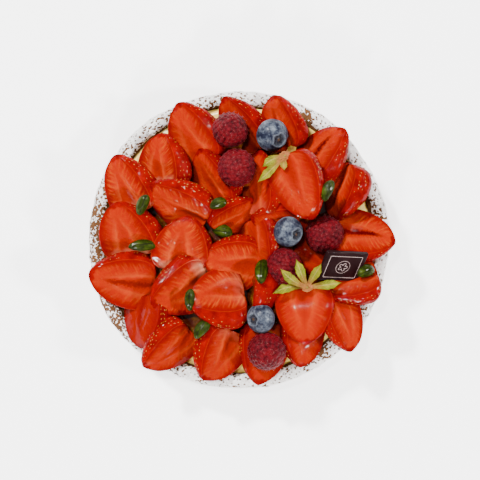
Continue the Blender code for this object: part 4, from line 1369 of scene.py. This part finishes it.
def crust():
    """The baked shell: browner at the top and the foot, darker in the dents as painted shade, and browner
    with painted shade on the inner wall.
    """
    points, _, relief = shell_surface(smooth_profile(CRUST_PROFILE, 84), 560)
    points[..., 2] = np.maximum(points[..., 2], 0.0)
    verts, faces = closed_rings(points, FLOOR_THICKNESS, 0)
    z = points[..., 2]
    r = np.hypot(points[..., 0], points[..., 1])
    # browner at the top and the foot; the share from the relief's dents is painted shade
    browned_and_shaded = step(18, 28, z) * 0.55 + 0.35 * step(3, 0, z) + 0.6 * np.clip(-relief, 0, 1)
    inner = (1 - step(INNER - 0.2, INNER + 2.0, r)) * step(6, 10, z)
    fruit = np.stack([np.clip(browned_and_shaded, 0, 1), inner, np.zeros_like(z)], -1).reshape(-1, 3)
    fruit = np.concatenate([fruit, [[0, 0, 0], [0.4, 0, 0]]])
    obj = add_mesh("crust_baked", verts, faces, MAT["crust"], {"fruit": fruit})
    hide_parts("crust")


def bump_at(angle, centre, width):
    """A soft bump around an angle in degrees."""
    gap = (np.degrees(angle) - centre + 180) % 360 - 180
    return np.exp(-((gap / width) ** 2))


# places where the sugar is thin: angle and width in degrees, strength, and its factor at the inner
# edge with how much that falls outwards
THIN_SUGAR = [
    (-55, 9, 0.55, 1.3, 1.0),
    (104, 22, 0.5, 1.15, 0.7),
    (6, 11, 0.9, 1.0, 1.0),
    (61, 3.4, 1.5, 1.15, 1.0),
    (-35, 12, 0.35, 1.0, 1.0),
    (150, 16, 0.3, 1.1, 1.0),
]


def icing_sugar():
    """Sugar sifted over the rim: a thin layer with bare specks, thin in some places and gone in a few."""
    profile = smooth_profile(CRUST_PROFILE, 400)
    top = np.flatnonzero((profile[:, 1] > 24.6) & (profile[:, 0] > INNER - 1.0))
    rows = 44
    profile, length = evenly(profile[top[0] : top[-1] + 1], rows)
    around = 1500
    points, angle, _ = shell_surface(profile, around, 0.22)
    across = np.linspace(0, 1, rows)[:, None] * np.ones((1, around))
    thin = 0.85 * bump_at(angle, 180, 17) * (1.3 - 0.7 * across) + 0.62 * bump_at(angle, -149, 15)
    for heading, width, strength, start, fall in THIN_SUGAR:
        thin = thin + strength * bump_at(angle, heading, width) * (start - fall * across)
    rough = 0.5 * noise(points, 1.3, 71) + 0.35 * noise(points, 0.7, 73) + 0.35 * noise(points, 4.5, 79)
    inner = 1 - step(-0.02, 0.09, across)
    keep = 0.9 - thin * 0.62 - 1.2 * inner - 0.3 * step(0.85, 1.0, across) + rough * 0.8 > 0.42
    # specks of pastry left bare by the sieve
    chance = random.Random("specks")
    wide = 2 * math.pi * 86 / around
    tall = length / rows
    for _ in range(5200):
        row, column = chance.random() ** 1.4 * rows, chance.random() * around
        spot = (int(min(row, rows - 1)), int(column) % around)
        if chance.random() > 0.20 + thin[spot] + 0.5 * (1 - across[spot]) ** 3:
            continue
        reach = chance.uniform(0.22, 0.42) + 0.25 * chance.random() ** 4
        for i in range(int(row - reach / tall), int(row + reach / tall) + 2):
            for j in range(int(column - 1.6 * reach / wide), int(column + 1.6 * reach / wide) + 2):
                inside = ((i - row) * tall / reach) ** 2 + ((j - column) * wide / (1.3 * reach)) ** 2 < 1
                if inside and 0 <= i < rows:
                    keep[i, j % around] = False
    lump = 0.20 * np.abs(noise(points, 1.1, 83)) + 0.12 * noise(points, 0.6, 89)
    points[..., 2] += lump * np.clip(1.2 - thin - inner, 0.2, 1)
    quads = grid_quads(rows, around, wrap=True)
    flat = keep.reshape(-1)
    verts, quads = only_used(points.reshape(-1, 3), quads[flat[quads].sum(1) >= 3])
    low = verts.copy()
    low[:, 2] -= 0.45
    count = len(verts)
    edges = np.concatenate([quads[:, [0, 1]], quads[:, [1, 2]], quads[:, [2, 3]], quads[:, [3, 0]]])
    key = np.sort(edges, axis=1)
    _, first, counts = np.unique(key, axis=0, return_index=True, return_counts=True)
    border = edges[first[counts == 1]]
    skirt = np.stack([border[:, 1], border[:, 0], border[:, 0] + count, border[:, 1] + count], -1)
    add_mesh("icing_sugar", np.concatenate([verts, low]), [quads, skirt], MAT["sugar"])


def cream():
    """The cream's own surface, a little uneven, in place of its solid."""
    profile = smooth_profile(
        [
            (1.0, CREAM_LEVEL + 1.6),
            (30.0, CREAM_LEVEL + 1.4),
            (58.0, CREAM_LEVEL + 1.6),
            (INNER - 6.0, CREAM_LEVEL + 2.4),
            (INNER - 2.2, CREAM_LEVEL + 2.2),
            (INNER - 1.2, CREAM_LEVEL + 0.6),
            (INNER - 3.0, 13.0),
            (INNER - 4.0, FLOOR_THICKNESS + 2.4),
            (INNER - 6.8, FLOOR_THICKNESS + 0.3),
        ],
        70,
    )
    r, z, a = round_grid(profile, 220)
    points = np.stack([r * np.cos(a), r * np.sin(a), z], -1)
    surface = step(18, 21, z)
    points[..., 2] += surface * (0.55 * layered(points, 9.0, 91, 3) - 0.1)
    verts, faces = closed_rings(points, points[0, :, 2].mean(), profile[-1, 1])
    obj = add_mesh("cream_filling", verts, faces, MAT["cream"])
    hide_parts("cream")


def fruit_heights(cell):
    """The height of the fruit's upper surface over a grid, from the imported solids."""
    verts, tris, total = [], [], 0
    for name in NODES:
        if name.startswith(("half", "raspberry", "blueberry")):
            v, t = node_arrays(name)
            verts.append(v)
            tris.append(t + total)
            total += len(v)
    tree = BVHTree.FromPolygons(np.concatenate(verts).tolist(), np.concatenate(tris).tolist())
    axis = np.arange(-82.0, 82.0 + cell, cell)
    heights = np.zeros((len(axis), len(axis)))
    down = Vector((0, 0, -1))
    for i, x in enumerate(axis):
        for j, y in enumerate(axis):
            if x * x + y * y < 81 * 81:
                hit = tree.ray_cast(Vector((x, y, 150.0)), down)[0]
                heights[i, j] = hit.z if hit else 0.0
    return axis, heights


def box_filter(values, reach, kind):
    """The least, greatest or mean value within a reach of each cell."""
    padded = np.pad(values, reach, mode="edge")
    size = values.shape
    total = None
    for dx in range(2 * reach + 1):
        for dy in range(2 * reach + 1):
            part = padded[dx : dx + size[0], dy : dy + size[1]]
            if total is None:
                total = part.copy()
            elif kind == "min":
                total = np.minimum(total, part)
            elif kind == "max":
                total = np.maximum(total, part)
            else:
                total = total + part
    return total / (2 * reach + 1) ** 2 if kind == "mean" else total


def glaze():
    """Glaze pooled in the gaps: low in the middle of a gap and drawn up where fruit is near."""
    cell = 0.8
    axis, heights = fruit_heights(cell)
    filled = np.where(heights < 1, CREAM_LEVEL, heights)
    mean = box_filter(box_filter(filled, 3, "mean"), 2, "mean")
    low = box_filter(filled, 3, "min")
    x, y = np.meshgrid(axis, axis, indexing="ij")
    r = np.hypot(x, y)
    points = np.stack([x, y, mean], -1)
    level = np.clip(0.6 * (mean - 4.0) + 0.4 * (low + 4.0), CREAM_LEVEL + 2.9, 48.0)
    level = level + 0.8 * layered(points, 8.0, 101, 3) + 0.25 * noise(points, 2.2, 107)
    # under the fruit it stays well below the skin
    covered = low > mean - 8.0
    level = np.where(covered, np.minimum(level, low - 2.5), level)
    level = np.maximum(box_filter(level, 1, "mean"), CREAM_LEVEL + 2.6)
    edge = step(64, 76, r + 3 * noise(points, 9.0, 103))
    level = level * (1 - edge) + (CREAM_LEVEL - 2.5) * edge
    points[..., 2] = level
    quads = grid_quads(len(axis), len(axis))
    inside = (r < 77.0).reshape(-1)
    verts, quads = only_used(points.reshape(-1, 3), quads[inside[quads].all(1)])
    add_mesh("fruit_glaze", verts, [quads], MAT["glaze"])


# ---------------------------------------------------------------- build
seed_groups = []
for half_name in HALVES:
    strawberry(half_name, seed_groups)
seeds_piece(seed_groups)
for pistachio_name in sorted(n for n in NODES if n.startswith("pistachio")):
    pistachio(pistachio_name)
hair_list = []
for raspberry_name in RASPBERRIES:
    raspberry(raspberry_name, hair_list)
hairs_piece(hair_list)
for blueberry_name in BLUEBERRIES:
    blueberry(blueberry_name)
for calyx_name in LEAVES:
    calyx(calyx_name)
plaque()
crust()
icing_sugar()
cream()
glaze()


# ---------------------------------------------------------------- floor, light and camera
def stage():
    """A plain pale floor, four small lamps and a dim, even surround."""
    mesh = bpy.data.meshes.new("floor")
    reach, level = 12, -0.0002
    corners = [(-reach, -reach), (reach, -reach), (reach, reach), (-reach, reach)]
    mesh.from_pydata([(x, y, level) for x, y in corners], [], [(0, 1, 2, 3)])
    floor = bpy.data.objects.new("floor", mesh)
    bpy.context.scene.collection.objects.link(floor)
    s = Shader("floor_paper")
    s.set(Base_Color=s.ramp(s.noise(s.place(), 0.02, 2.0), (0.3, 0.96), (0.7, 0.98)))
    s.set(Roughness=0.9, Emission_Color=(1.0, 1.0, 1.0, 1.0), Emission_Strength=2.0)
    mesh.materials.append(s.mat)

    aim = Vector((0, 0, 0.03))

    def lamp(name, at, size, power):
        light = bpy.data.lights.new(name, "AREA")
        light.shape = "RECTANGLE"
        light.size, light.size_y = size
        light.energy = power
        obj = bpy.data.objects.new(name, light)
        bpy.context.scene.collection.objects.link(obj)
        obj.location = at
        obj.rotation_euler = (aim - Vector(at)).to_track_quat("-Z", "Y").to_euler()

    lamp("key", (-0.70, 0.95, 1.20), (0.15, 0.13), 60.0)
    lamp("top", (-0.20, 0.26, 1.30), (0.06, 0.05), 10.0)
    lamp("fill", (1.15, -0.15, 0.95), (0.15, 0.15), 28.0)
    lamp("front", (-0.3, -1.15, 0.85), (0.16, 0.13), 24.0)
    world = bpy.data.worlds.new("studio")
    bpy.context.scene.world = world
    world.use_nodes = True
    world.node_tree.nodes["Background"].inputs[0].default_value = (1.0, 1.0, 1.0, 1.0)
    world.node_tree.nodes["Background"].inputs[1].default_value = 0.2


def camera():
    """Straight above the tart."""
    data = bpy.data.cameras.new("camera")
    obj = bpy.data.objects.new("camera", data)
    bpy.context.scene.collection.objects.link(obj)
    above = 0.62
    data.sensor_width = 36.0
    data.lens = 18.0 * above / 0.144
    obj.location = (0.001, 0.0, RIM_HEIGHT * MM + above)
    obj.rotation_euler = (0, 0, 0)
    data.clip_start = 0.01
    bpy.context.scene.camera = obj


stage()
camera()
